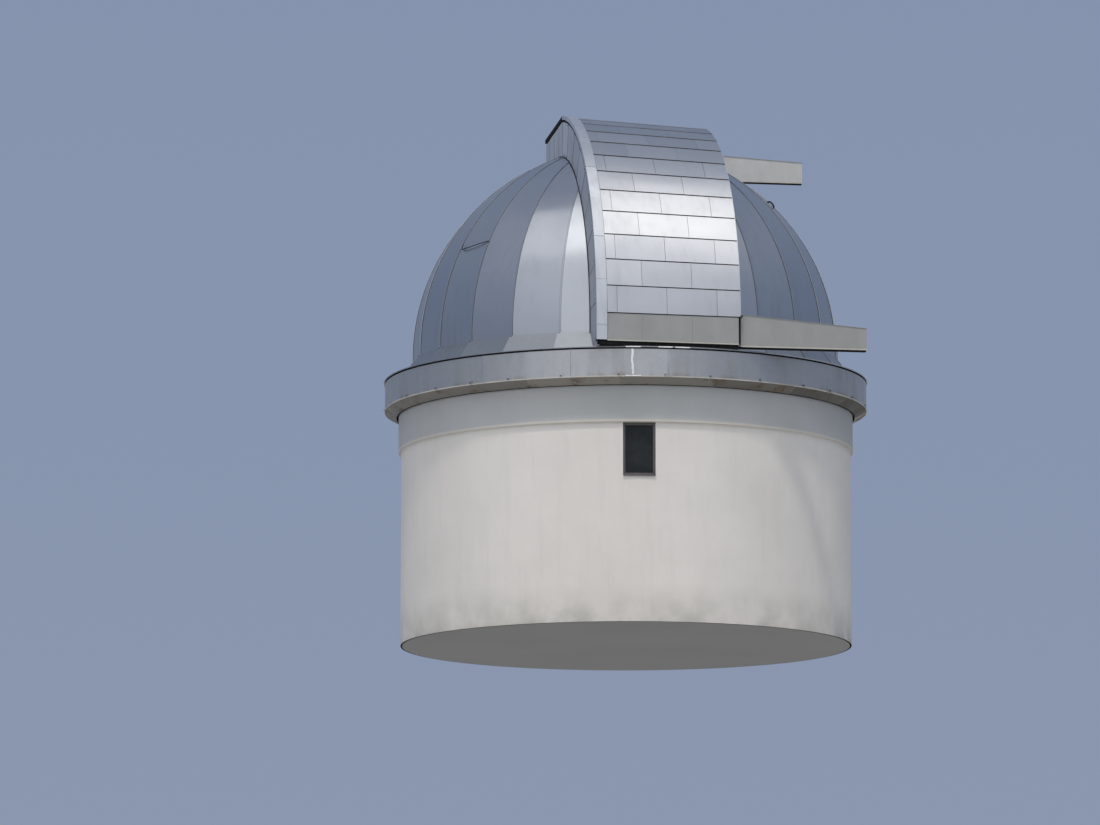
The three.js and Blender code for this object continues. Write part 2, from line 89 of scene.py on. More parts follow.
# Sizes of the trim, which only this file has.
ROUND_STEPS = 180
GORE_END, SEAM_END = 88.6, 87.5
FASCIA_SHEETS = 16
FASCIA_TURN = tau / FASCIA_SHEETS
FASCIA_BOLTS, FIRST_BOLT = 30, -13.0
SEALANT_AZ = -8.6
SEALANT_STEPS, SEALANT_LONG = 14, 0.29
CHEEK_ARCH_END, CHEEK_FOOT_END = 80.0, 107.0
PLATE_GAP = 0.0035
TIGHT_GAP = PLATE_GAP * 0.4
TIGHT_FROM = 7
LEFT_PLATES = -SHUTTER_HALF + RIM_W + 0.003
PLATE_JOINTS = ((-0.60, -0.02, 0.565), (-0.305, 0.275))
TOP_ROWS = 4
APRON_HEM, SHADE_STRIP_LOW = -0.231, -0.2835
APRON_RIGHT = 0.815
BACKING_OUT = -0.009


# ---- Finishes ----

class Wiring:
    """A few short words for a node tree. An input takes a number, a colour or another node's output."""

    def __init__(self, tree):
        self.tree = tree

    def feed(self, socket, value):
        if isinstance(value, bpy.types.NodeSocket):
            self.tree.links.new(value, socket)
        else:
            socket.default_value = value

    def node(self, kind, inputs=None, **settings):
        made = self.tree.nodes.new(kind)
        for key, value in settings.items():
            setattr(made, key, value)
        for key, value in (inputs or {}).items():
            self.feed(made.inputs[key], value)
        return made

    def out(self, kind, inputs=None, output=0, **settings):
        """The output of a new node: its first one, unless another is named."""
        return self.node(kind, inputs, **settings).outputs[output]

    def reckon(self, how, *values):
        return self.out("ShaderNodeMath", dict(enumerate(values)), operation=how)

    def span(self, value, low, high, to_low=0.0, to_high=1.0):
        inputs = {"Value": value, "From Min": low, "From Max": high, "To Min": to_low, "To Max": to_high}
        return self.out("ShaderNodeMapRange", inputs)

    def ramp(self, value, *stops):
        made = self.node("ShaderNodeValToRGB", {"Fac": value})
        band = made.color_ramp
        while len(band.elements) < len(stops):
            band.elements.new(0.5)
        for element, (position, color) in zip(band.elements, stops):
            element.position = position
            element.color = (*color, 1.0)
        return made.outputs["Color"]

    def blend(self, mask, first, second, how="MIX"):
        first, second = ((*c, 1.0) if isinstance(c, tuple) else c for c in (first, second))
        inputs = {"Factor": mask, "A": first, "B": second}
        return self.out("ShaderNodeMix", inputs, "Result", data_type="RGBA", blend_type=how)


class Finish(Wiring):
    """A material. Its colour, gloss and bumps are fed to its shader."""

    def __init__(self, name, metallic=0.0, roughness=0.5):
        self.material = bpy.data.materials.new(name)
        self.material.use_nodes = True
        super().__init__(self.material.node_tree)
        self.shader = self.tree.nodes["Principled BSDF"]
        self.shade("Metallic", metallic)
        self.gloss(roughness)
        self.place = self.out("ShaderNodeTexCoord", output="Object")

    def shade(self, name, value):
        self.feed(self.shader.inputs[name], value)

    def color(self, value):
        self.shade("Base Color", value)

    def gloss(self, value):
        self.shade("Roughness", value)

    def bump(self, value, strength, distance):
        inputs = {"Strength": strength, "Distance": distance, "Height": value}
        self.shade("Normal", self.out("ShaderNodeBump", inputs))

    def rolled(self, amount):
        """Rolling marks across a sheet stretch its highlights sideways."""
        self.shade("Tangent", self.out("ShaderNodeTangent", direction_type="RADIAL", axis="Z"))
        self.shade("Anisotropic", amount)

    def cloud(self, scale, detail=4.0, rough=0.55, stretch=None):
        place = self.place
        if stretch:
            place = self.out("ShaderNodeMapping", {"Vector": place, "Scale": stretch})
        inputs = {"Vector": place, "Scale": scale, "Detail": detail, "Roughness": rough}
        return self.out("ShaderNodeTexNoise", inputs)

    def height(self):
        return self.out("ShaderNodeSeparateXYZ", {"Vector": self.place}, "Z")

    def tone(self):
        """The tone that each sheet carries, between 0 and 1. On the shutter's plates it also holds painted
        highlight and shade.
        """
        return self.out("ShaderNodeAttribute", output="Fac", attribute_name="tone")


def sheet_finish(name, dark, light, rough_low, rough_high, grime, dents=0.35, rolled=0.0):
    """Weathered sheet metal: a tone for each sheet, faint rain streaks, dull patches and soft dents."""
    f = Finish(name, 1.0)
    tone = f.ramp(f.tone(), (0.0, dark), (1.0, light))
    streaks = f.cloud(3.0, 5.0, 0.6, (4.0, 4.0, 0.8))
    patches = f.cloud(1.3, 3.0)
    dirty = f.span(f.reckon("MULTIPLY", streaks, patches), 0.24, 0.44, 0.0, 0.35)
    f.color(f.blend(dirty, tone, grime))
    dull = f.span(patches, 0.3, 0.7, rough_low, rough_high)
    f.gloss(f.reckon("ADD", dull, f.span(streaks, 0.3, 0.7, -0.01, 0.02)))
    f.bump(f.cloud(0.8, 1.0, 0.3, (1.1, 1.1, 3.5)), dents, 0.02)
    if rolled:
        f.rolled(rolled)
    return f.material


def zinc_finish(name):
    """Zinc-coated sheet with faint spangles, and rust and dirt creeping up from its foot."""
    f = Finish(name, 0.75)
    cells = f.out("ShaderNodeTexVoronoi", {"Vector": f.place, "Scale": 28.0}, "Color")
    spangle = f.ramp(cells, (0.0, (0.365, 0.37, 0.375)), (1.0, (0.41, 0.415, 0.42)))
    tone = f.ramp(f.tone(), (0.0, (0.33, 0.335, 0.345)), (1.0, (0.46, 0.46, 0.46)))
    toned = f.blend(0.5, spangle, tone)
    low = f.span(f.height(), SPRING + RING_FOOT, SPRING + RING_FOOT + 0.06, 1.0, 0.0)
    runs = f.cloud(1.6, 6.0, 0.6, (2.0, 2.0, 0.5))
    rust = f.reckon("MULTIPLY", low, f.span(runs, 0.5, 0.72, 0.0, 0.8))
    dirt = f.span(runs, 0.5, 0.75, 0.0, 0.45)
    f.color(f.blend(rust, f.blend(dirt, toned, (0.24, 0.24, 0.23)), (0.20, 0.13, 0.08)))
    f.gloss(f.span(runs, 0.3, 0.7, 0.34, 0.5))
    f.bump(f.cloud(5.0, 3.0), 0.2, 0.006)
    return f.material


def paint_finish(name, light, dark):
    """Faded paint, chalky and faintly streaked."""
    f = Finish(name, 0.0, 0.55)
    streaks = f.cloud(2.2, 4.0, 0.55, (2.0, 2.0, 1.2))
    fine = f.cloud(38.0, 3.0)
    base = f.blend(f.span(streaks, 0.3, 0.7), light, dark)
    f.color(f.blend(f.span(fine, 0.45, 0.75, 0.0, 0.15), base, (0.28, 0.26, 0.23)))
    f.bump(fine, 0.15, 0.002)
    return f.material


def soffit_finish():
    """Old brown paint under the ring, rusty, with some sheets near black and no two sheets alike."""
    f = Finish("soffit_paint")
    sheet = f.ramp(f.tone(), (0.0, (0.075, 0.07, 0.055)), (0.5, (0.19, 0.175, 0.15)),
                   (1.0, (0.36, 0.33, 0.27)))
    spread = f.cloud(2.6, 8.0, 0.68)
    rust = f.ramp(f.cloud(14.0, 5.0), (0.3, (0.06, 0.045, 0.03)), (0.7, (0.20, 0.14, 0.09)))
    f.color(f.blend(f.span(spread, 0.52, 0.60, 0.0, 0.85), sheet, rust))
    f.gloss(f.span(spread, 0.4, 0.6, 0.5, 0.85))
    f.bump(f.cloud(38.0, 3.0), 0.3, 0.003)
    return f.material


def plaster_finish():
    """Rough plaster: pale below, greyer on the band as painted shade from the ring above, with a paler strip
    at the band's foot as painted light.
    """
    f = Finish("rough_plaster", 0.0, 0.88)
    broad = f.cloud(0.9, 5.0, 0.6)
    streaks = f.cloud(2.4, 7.0, 0.65, (3.2, 3.2, 0.35))
    grain = f.cloud(85.0, 4.0, 0.7)
    lower = f.ramp(broad, (0.3, (0.64, 0.605, 0.55)), (0.7, (0.71, 0.67, 0.61)))
    # painted shade: the band under the ring is coloured far greyer than the wall below, for the ring's shadow
    # on it.
    band = f.ramp(broad, (0.3, (0.385, 0.39, 0.375)), (0.7, (0.45, 0.45, 0.435)))
    # painted light: a paler strip at the band's foot, for the sunlit edge below the ring's shadow.
    lit_strip = f.ramp(broad, (0.3, (0.50, 0.47, 0.41)), (0.7, (0.56, 0.53, 0.47)))
    band = f.blend(f.span(f.height(), LEDGE + 0.030, LEDGE + 0.034), lit_strip, band)
    base = f.blend(f.span(f.height(), LEDGE - 0.001, LEDGE + 0.001), lower, band)
    base = f.blend(f.span(streaks, 0.5, 0.78, 0.0, 0.22), base, (0.50, 0.49, 0.46))
    foot = f.span(f.height(), 0.0, 0.45, 0.75, 0.0)
    splash = f.reckon("MULTIPLY", foot, f.span(f.cloud(3.0, 6.0), 0.35, 0.65, 0.2, 1.0))
    base = f.blend(splash, base, (0.36, 0.35, 0.31))
    top = f.reckon("MULTIPLY", f.span(f.height(), 2.55, WALL_TOP, 0.0, 0.5), streaks)
    f.color(f.blend(top, base, (0.40, 0.39, 0.36)))
    f.bump(f.blend(0.35, grain, f.cloud(16.0, 5.0)), 0.35, 0.004)
    return f.material


def mottled(name, metallic, roughness, clouds, dark, light, grain=None):
    """A plain finish between two stops of a ramp, mostly with a fine grain."""
    f = Finish(name, metallic, roughness)
    f.color(f.ramp(f.cloud(*clouds), dark, light))
    if grain:
        scale, detail, strength, distance = grain
        f.bump(f.cloud(scale, detail), strength, distance)
    return f


def steel_finish():
    f = mottled("greasy_steel", 0.8, 0.45, (12.0, 5.0), (0.3, (0.07, 0.07, 0.07)), (0.7, (0.16, 0.15, 0.14)))
    f.gloss(f.span(f.cloud(9.0, 4.0), 0.3, 0.7, 0.3, 0.6))
    return f.material


def dark_joint_and_shade_finish():
    """Near-black finish: old bitumen and dirt in the joints between sheets, and painted shade on strips put
    in gaps and under edges.
    """
    f = mottled("joint_dirt", 0.0, 0.85, (20.0, 5.0), (0.3, (0.005, 0.005, 0.006)),
                (0.7, (0.016, 0.016, 0.016)), (60.0, 3.0, 0.3, 0.002))
    f.shade("Specular IOR Level", 0.15)
    return f.material


def glass_finish():
    """Dusty window glass, coloured near black as painted shade for the dark room behind it."""
    f = mottled("dusty_glass", 0.0, 0.08, (6.0, 5.0), (0.3, (0.008, 0.011, 0.012)),
                (0.75, (0.024, 0.029, 0.030)))
    f.shade("IOR", 1.22)
    f.gloss(f.span(f.cloud(4.0, 6.0), 0.35, 0.7, 0.05, 0.22))
    return f.material


GORE_SHEET = sheet_finish("gore_sheet", (0.395, 0.407, 0.425), (0.46, 0.47, 0.49), 0.28, 0.36,
                          (0.29, 0.30, 0.33), 0.6, 0.5)
BEAD_SHEET = sheet_finish("bead_sheet", (0.30, 0.32, 0.345), (0.37, 0.39, 0.415), 0.44, 0.54,
                          (0.20, 0.21, 0.23), 0.1)
FOOT_SHEET = sheet_finish("foot_sheet", (0.27, 0.28, 0.293), (0.405, 0.415, 0.42), 0.36, 0.46,
                          (0.22, 0.22, 0.22))
COURSE_SHEET = sheet_finish("course_sheet", (0.36, 0.375, 0.40), (0.61, 0.605, 0.60), 0.31, 0.38,
                            (0.42, 0.42, 0.42), 0.4)
RIM_SHEET = sheet_finish("rim_sheet", (0.54, 0.55, 0.56), (0.64, 0.645, 0.655), 0.40, 0.48,
                         (0.38, 0.38, 0.38), 0.2)
CHEEK_SHEET = sheet_finish("cheek_sheet", (0.52, 0.53, 0.55), (0.64, 0.65, 0.665), 0.46, 0.58,
                           (0.26, 0.26, 0.25), 0.2)
ZINC = zinc_finish("spangled_zinc")
RAIL_PAINT = paint_finish("rail_paint", (0.295, 0.295, 0.28), (0.26, 0.26, 0.245))
PALE_RAIL_PAINT = paint_finish("pale_rail_paint", (0.48, 0.475, 0.455), (0.42, 0.415, 0.395))
LIP_PAINT = paint_finish("lip_paint", (0.50, 0.48, 0.42), (0.38, 0.36, 0.31))
SOFFIT_PAINT = soffit_finish()
FRAME_PAINT = paint_finish("window_paint", (0.11, 0.10, 0.095), (0.06, 0.055, 0.05))
PLASTER = plaster_finish()
CONCRETE = mottled("floated_concrete", 0.0, 0.85, (3.0, 6.0), (0.3, (0.40, 0.39, 0.37)),
                   (0.7, (0.52, 0.51, 0.49)), (60.0, 4.0, 0.3, 0.003)).material
STEEL = steel_finish()
DARK_JOINT_AND_SHADE = dark_joint_and_shade_finish()
LINING = mottled("grey_lining", 0.3, 0.6, (4.0, 5.0), (0.3, (0.33, 0.34, 0.35)),
                 (0.7, (0.45, 0.46, 0.47)), (30.0, 3.0, 0.15, 0.002)).material
SEALANT_AND_GLINT = mottled("white_sealant", 0.0, 0.6, (25.0, 5.0), (0.3, (0.60, 0.60, 0.58)),
                  (0.7, (0.82, 0.82, 0.80)), (40.0, 4.0, 0.5, 0.004)).material
GLASS = glass_finish()


# ---- Mesh words ----

def at(radius, azimuth, height):
    """A point by its distance from the dome's axis, its azimuth from the front and its height."""
    return Vector((radius * sin(azimuth), -radius * cos(azimuth), height))


def on_dome(radius, azimuth, height):
    """The same, with the height counted from the springing line."""
    return at(radius, azimuth, SPRING + height)


def upright(x, radius, rise):
    """A point in the upright plane at x, by its distance from the crosswise axis and its rise."""
    return Vector((x, -radius * cos(rise), SPRING + radius * sin(rise)))


def towards(azimuth, rise):
    """The direction of length 1 that points to an azimuth and a rise above the horizon."""
    return at(cos(rise), azimuth, sin(rise))


def evenly(low, high, steps):
    return [low + (high - low) * i / steps for i in range(steps + 1)]


def box_outline(u0, u1, v0, v1):
    return (u0, v0), (u1, v0), (u1, v1), (u0, v1)


def full_turn(steps):
    return [tau * i / steps for i in range(steps)]


def numbered(name, count):
    return [f"{name}_{i}" for i in range(1, count + 1)]


def placed(name, data):
    made = bpy.data.objects.new(name, data)
    bpy.context.scene.collection.objects.link(made)
    return made


def outward(mesh, smooth_angle=30.0):
    """Turns every face outwards, and shades smooth what bends less than an angle."""
    work = bmesh.new()
    work.from_mesh(mesh)
    bmesh.ops.recalc_face_normals(work, faces=work.faces)
    work.to_mesh(mesh)
    work.free()
    mesh.polygons.foreach_set("use_smooth", [True] * len(mesh.polygons))
    mesh.set_sharp_from_angle(angle=radians(smooth_angle))
    mesh.update()


def settled(piece):
    """The mesh that a piece's modifiers make of it. The modifiers come off."""
    bpy.context.view_layer.update()
    mesh = bpy.data.meshes.new_from_object(piece.evaluated_get(bpy.context.evaluated_depsgraph_get()))
    piece.modifiers.clear()
    return mesh


def fitted(piece, body, slot, *nodes):
    """Hangs a finished piece on its body, and hides the solids that it stands for."""
    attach(piece, body)
    if nodes:
        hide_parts(*nodes)


class Stock:
    """Gathers closed plates, each with a tone of its own, into one mesh."""

    def __init__(self):
        self.points, self.faces, self.tones = [], [], []

    def plate(self, outer, inner, tone=0.5):
        """A closed plate between two matching grids of points."""
        rows, columns = len(outer), len(outer[0])
        start, layer = len(self.points), rows * columns
        for grid in (outer, inner):
            for row in grid:
                self.points.extend(tuple(p) for p in row)
        last_row, last_column = rows - 1, columns - 1

        def face(*corners):
            self.faces.append(tuple(start + side * layer + r * columns + c for side, r, c in corners))
        for r in range(last_row):
            for c in range(last_column):
                face((0, r, c), (0, r, c + 1), (0, r + 1, c + 1), (0, r + 1, c))
                face((1, r, c), (1, r + 1, c), (1, r + 1, c + 1), (1, r, c + 1))
        for r in range(last_row):
            face((0, r, 0), (0, r + 1, 0), (1, r + 1, 0), (1, r, 0))
            face((0, r, last_column), (1, r, last_column), (1, r + 1, last_column), (0, r + 1, last_column))
        for c in range(last_column):
            face((0, 0, c), (1, 0, c), (1, 0, c + 1), (0, 0, c + 1))
            face((0, last_row, c), (0, last_row, c + 1), (1, last_row, c + 1), (1, last_row, c))
        self.tones.extend([tone] * (2 * layer))

    def sheet(self, rows, columns, pair, tone=0.5):
        """A plate whose outer and inner point come in a pair for each row and column."""
        grid = [[pair(row, column) for column in columns] for row in rows]
        self.plate([[p[0] for p in row] for row in grid], [[p[1] for p in row] for row in grid], tone)

    def layer(self, place, levels, across, upper, under, tone=0.5):
        """A plate between two heights above a surface, which is a function of sideways, level and height."""
        self.sheet(levels, across, lambda level, x: (place(x, level, upper), place(x, level, under)), tone)

    def block(self, low, high, tone=0.5):
        self.sheet((low[1], high[1]), (low[0], high[0]), lambda y, x: ((x, y, high[2]), (x, y, low[2])), tone)

    def swept(self, sections, tone=0.5, closed=False):
        """A closed tube through matching outlines, with flat ends or joined into a ring."""
        start, count, n = len(self.points), len(sections), len(sections[0])
        for section in sections:
            self.points.extend(tuple(p) for p in section)
        for s in range(count if closed else count - 1):
            for i in range(n):
                a, b = start + s * n, start + ((s + 1) % count) * n
                self.faces.append((a + i, a + (i + 1) % n, b + (i + 1) % n, b + i))
        if not closed:
            self.faces.append(tuple(start + i for i in reversed(range(n))))
            self.faces.append(tuple(start + (count - 1) * n + i for i in range(n)))
        self.tones.extend([tone] * (count * n))

    def ringed(self, outline, place=on_dome, tone=0.5):
        """A ring with the given outline, turned about the dome's axis."""
        self.swept([[place(radius, azimuth, height) for radius, height in outline]
                    for azimuth in full_turn(ROUND_STEPS)], tone, True)

    def make(self, name, material, smooth_angle=30.0):
        mesh = bpy.data.meshes.new(name)
        mesh.from_pydata(self.points, [], self.faces)
        tone = mesh.attributes.new("tone", "FLOAT", "POINT")
        tone.data.foreach_set("value", self.tones)
        mesh.materials.append(material)
        outward(mesh, smooth_angle)
        return placed(name, mesh)

    def fit(self, name, material, body, slot, *nodes, smooth_angle=30.0):
        fitted(self.make(name, material, smooth_angle), body, slot, *nodes)


def chance(seed):
    return np.random.default_rng(seed)


def ripple(x, y, seed):
    """A slow unevenness between about -1 and 1, as thin sheet has."""
    return noise.noise(Vector((x, y, seed * 7.31)))


# ---- Node trees ----

class Growth(Wiring):
    """A Geometry Nodes tree. It ends by making its copies real and giving them their material."""

    def __init__(self, name, *sockets):
        super().__init__(bpy.data.node_groups.new(name, "GeometryNodeTree"))
        make = self.tree.interface.new_socket
        make("Geometry", in_out="INPUT", socket_type="NodeSocketGeometry")
        for label, kind, value in sockets:
            make(label, in_out="INPUT", socket_type=kind).default_value = value
        make("Material", in_out="INPUT", socket_type="NodeSocketMaterial")
        make("Geometry", in_out="OUTPUT", socket_type="NodeSocketGeometry")
        self.entry = self.node("NodeGroupInput").outputs

    def finish(self, geometry):
        real = self.out("GeometryNodeRealizeInstances", {"Geometry": geometry})
        coated = self.out("GeometryNodeSetMaterial", {"Geometry": real, "Material": self.entry["Material"]})
        self.node("NodeGroupOutput", {"Geometry": coated})
        return self.tree


def copies_round_tree():
    """Copies of one piece turned step by step about the dome's axis, each with its own tone."""
    g = Growth("copies_round_the_axis", ("Copies", "NodeSocketInt", 12),
               ("First turn", "NodeSocketFloat", 0.0), ("Turn", "NodeSocketFloat", 0.1),
               ("Seed", "NodeSocketInt", 1))
    line = g.out("GeometryNodeMeshLine", {"Offset": (0, 0, 0), "Count": g.entry["Copies"]})
    number = g.out("GeometryNodeInputIndex")
    turn = g.reckon("MULTIPLY_ADD", number, g.entry["Turn"], g.entry["First turn"])
    spin = g.out("ShaderNodeCombineXYZ", {"Z": turn})
    inputs = {"Points": line, "Instance": g.entry["Geometry"], "Rotation": spin}
    copies = g.out("GeometryNodeInstanceOnPoints", inputs)
    tone = g.out("FunctionNodeRandomValue", {"Seed": g.entry["Seed"]}, 1, data_type="FLOAT")
    inputs = {"Geometry": copies, "Name": "tone", "Value": tone}
    return g.finish(g.out("GeometryNodeStoreNamedAttribute", inputs, data_type="FLOAT", domain="INSTANCE"))


def bolts_tree():
    """A bolt head on every point, narrower at its top, that stands along the point's own direction."""
    g = Growth("bolt_heads", ("Head radius", "NodeSocketFloat", 0.012),
               ("Head height", "NodeSocketFloat", 0.008))
    radius = g.entry["Head radius"]
    head = g.out("GeometryNodeMeshCone", {
        "Vertices": 10, "Radius Bottom": radius, "Radius Top": g.reckon("MULTIPLY", radius, 0.62),
        "Depth": g.entry["Head height"]})
    facing = g.out("GeometryNodeInputNamedAttribute", {"Name": "facing"}, data_type="FLOAT_VECTOR")
    stand = g.out("FunctionNodeAlignRotationToVector", {"Vector": facing}, axis="Z")
    points = g.out("GeometryNodeMeshToPoints", {"Mesh": g.entry["Geometry"]})
    inputs = {"Points": points, "Instance": head, "Rotation": stand}
    return g.finish(g.out("GeometryNodeInstanceOnPoints", inputs))


def bead_tree():
    """A round bead along every line of the piece."""
    g = Growth("bead_along_lines", ("Bead radius", "NodeSocketFloat", 0.004), ("Sides", "NodeSocketInt", 6))
    lines = g.out("GeometryNodeMeshToCurve", {"Mesh": g.entry["Geometry"]})
    inputs = {"Radius": g.entry["Bead radius"], "Resolution": g.entry["Sides"]}
    section = g.out("GeometryNodeCurvePrimitiveCircle", inputs)
    inputs = {"Curve": lines, "Profile Curve": section, "Fill Caps": True}
    return g.finish(g.out("GeometryNodeCurveToMesh", inputs))


def grown(name, seed_piece, tree, material, smooth_angle=30.0, **values):
    """Runs a tree on a seed piece, and leaves its result as a plain mesh."""
    modifier = seed_piece.modifiers.new("grow", "NODES")
    modifier.node_group = tree
    values["Material"] = material
    for item in tree.interface.items_tree:
        word = item.name.replace(" ", "_")
        if item.item_type == "SOCKET" and item.in_out == "INPUT" and word in values:
            modifier[item.identifier] = values[word]
    mesh = settled(seed_piece)
    bpy.data.objects.remove(seed_piece)
    mesh.name = name
    outward(mesh, smooth_angle)
    return placed(name, mesh)


COPIES_ROUND = copies_round_tree()
BOLTS = bolts_tree()
BEAD = bead_tree()


def copied_round(name, stock, material, copies, turn, seed, first_turn=0.0):
    """Copies of a sheet, turned step by step about the dome's axis."""
    return grown(name, stock.make(name + "_seed", material), COPIES_ROUND, material,
                 Copies=copies, First_turn=first_turn, Turn=turn, Seed=seed)


def bolt_heads(name, places, radius, height, body="dome"):
    """Steel bolt heads at (point, direction) pairs."""
    mesh = bpy.data.meshes.new(name)
    mesh.from_pydata([tuple(point) for point, _ in places], [], [])
    facing = mesh.attributes.new("facing", "FLOAT_VECTOR", "POINT")
    facing.data.foreach_set("vector", [c for _, way in places for c in Vector(way).normalized()])
    made = grown(name, placed(name + "_seed", mesh), BOLTS, STEEL, Head_radius=radius, Head_height=height)
    fitted(made, body, "dark_steel")


def beads(name, lines, slot, material, radius, sides=6):
    """Round beads along lines of points on the dome."""
    points, edges = [], []
    for line in lines:
        start = len(points)
        points.extend(tuple(p) for p in line)
        edges.extend((start + i, start + i + 1) for i in range(len(line) - 1))
    mesh = bpy.data.meshes.new(name)
    mesh.from_pydata(points, edges, [])
    made = grown(name, placed(name + "_seed", mesh), BEAD, material, 50.0, Bead_radius=radius, Sides=sides)
    fitted(made, "dome", slot)


# ---- Wall ----

def wall():
    """The plastered drum in one turned piece, with its band and the window cut through it."""
    outline = [
        (WALL_R, 0.0), (WALL_R, 0.8), (WALL_R, 1.6), (WALL_R, LEDGE - 0.004), (WALL_R + 0.004, LEDGE),
        (BAND_R - 0.006, LEDGE), (BAND_R, LEDGE + 0.006), (BAND_R, LEDGE + 0.3), (BAND_R, WALL_TOP - 0.008),
        (BAND_R - 0.008, WALL_TOP), (WALL_IN_R, WALL_TOP), (WALL_IN_R, 1.4), (WALL_IN_R, 0.0),
    ]

    def plastered(radius, azimuth, height):
        uneven = 0.0015 * ripple(3 * sin(azimuth) + height, 3 * cos(azimuth), 3)
        return at(radius + (uneven if radius > WALL_IN_R else 0.0), azimuth, height)
    stock = Stock()
    stock.ringed(outline, plastered)
    piece = stock.make("plastered_wall", PLASTER, 25.0)
    cutter = Stock()
    cutter.block((-WINDOW_W / 2, -3.0, LEDGE - WINDOW_H), (WINDOW_W / 2, -2.2, LEDGE + 0.001))
    tool = cutter.make("window_cutter", PLASTER)
    tool.data.transform(Matrix.Rotation(WINDOW_AZ, 4, "Z"))
    cut = piece.modifiers.new("window", "BOOLEAN")
    cut.operation, cut.solver, cut.object = "DIFFERENCE", "EXACT", tool
    piece.data = settled(piece)
    bpy.data.objects.remove(tool)
    piece.data.materials.clear()
    piece.data.materials.append(PLASTER)
    outward(piece.data, 25.0)
    fitted(piece, "building", "plaster", *numbered("wall_section", 6))


def in_window(x, y, z):
    """A point given from the window's middle line: sideways, outwards from the axis, and up."""
    return Matrix.Rotation(WINDOW_AZ, 4, "Z") @ Vector((x, -y, z))


def window_sill():
    """A thin sloping sill of sheet at the window's foot, with its drip edge."""
    half, low = WINDOW_W / 2 - 0.002, LEDGE - WINDOW_H
    front, back = WALL_R + 0.012, WALL_R - 0.042
    stock = Stock()
    stock.sheet(((front, low + 0.004), (back, low + 0.016)), (-half, half),
                lambda spot, x: (in_window(x, *spot), in_window(x, *spot) - Vector((0, 0, 0.003))))
    stock.sheet((low - 0.014, low + 0.005), (-half, half),
                lambda z, x: (in_window(x, front + 0.002, z), in_window(x, front, z)))
    stock.fit("window_sill", FRAME_PAINT, "building", "window_metal")


# ---- Ball ----

BALL_FOOT = asin(FOOT_TOP / BALL_R)


def ball_point(azimuth, rise, out=0.0):
    radius = BALL_R + out
    return on_dome(radius * cos(rise), azimuth, radius * sin(rise))


def one_gore(side):
    """The gore next to the front seam: flat across, curved up and down, lapped over its outer neighbour."""
    rises = evenly(BALL_FOOT, radians(GORE_END), 44)

    def pair(rise, u):
        normal = towards(side * GORE_TURN / 2, rise)
        buckle = 0.0022 * ripple(u * 1.7, rise * 4.0, 5 + side) * sin(pi * min(max(u, 0.0), 1.0))
        point = ball_point(0.0, rise).lerp(ball_point(side * GORE_TURN, rise), u)
        point += normal * (0.005 + 0.004 * (1.0 - u) + buckle)
        if rise == rises[0]:
            point -= Vector((0, 0, 0.022))
        return point, point - normal * 0.0035
    stock = Stock()
    stock.sheet(rises, (-0.03, -0.029, 0.0, 0.18, 0.34, 0.5, 0.66, 0.82, 1.0), pair)
    return stock


def kept_side(source, *planes):
    """A copy of a closed mesh cut by planes, each a point and the direction that is thrown away."""
    work = bmesh.new()
    work.from_mesh(source)
    for point, away in planes:
        everything = work.verts[:] + work.edges[:] + work.faces[:]
        bmesh.ops.bisect_plane(work, geom=everything, dist=1e-5, plane_co=point, plane_no=away,
                               clear_outer=True)
        bmesh.ops.holes_fill(work, edges=[e for e in work.edges if e.is_boundary], sides=0)
    return work


def gores():
    """The ball's gores on both sides, with the slit cut out of them."""
    rear, sill = SLIT_REAR + 0.002, SPRING + SILL_TOP
    for side, label in ((1, "right"), (-1, "left")):
        whole = copied_round(f"gore_sheets_{label}", one_gore(side), GORE_SHEET, GORES // 2,
                             side * GORE_TURN, 4 + side)
        edge = side * (SLIT_HALF + 0.002)
        cuts = [
            [((0, rear, 0), (0, -1, 0))],
            [((0, rear, 0), (0, 1, 0)), ((edge, 0, 0), (-side, 0, 0))],
            [((0, 0, sill), (0, 0, 1)), ((edge, 0, 0), (side, 0, 0)), ((0, 0, 0), (0, 1, 0))],
        ]
        joined = bmesh.new()
        for planes in cuts:
            part = kept_side(whole.data, *planes)
            holder = bpy.data.meshes.new("part")
            part.to_mesh(holder)
            part.free()
            joined.from_mesh(holder)
            bpy.data.meshes.remove(holder)
        joined.to_mesh(whole.data)
        joined.free()
        outward(whole.data)
        fitted(whole, "dome", "sheet_metal")


def seam_beads():
    """A folded bead along every seam of the ball, as far as the slit."""
    lines = []
    for number in range(1, GORES):
        line = []
        for step in range(90):
            rise = BALL_FOOT + radians(step)
            point = ball_point(number * GORE_TURN, rise, 0.0082)
            in_slit = abs(point.x) < SLIT_HALF + 0.004 and point.y < SLIT_REAR + 0.004
            if in_slit or rise > radians(SEAM_END):
                break
            line.append(point)
        if len(line) > 3:
            lines.append(line)
    beads("seam_beads", lines, "sheet_metal", BEAD_SHEET, 0.0024)


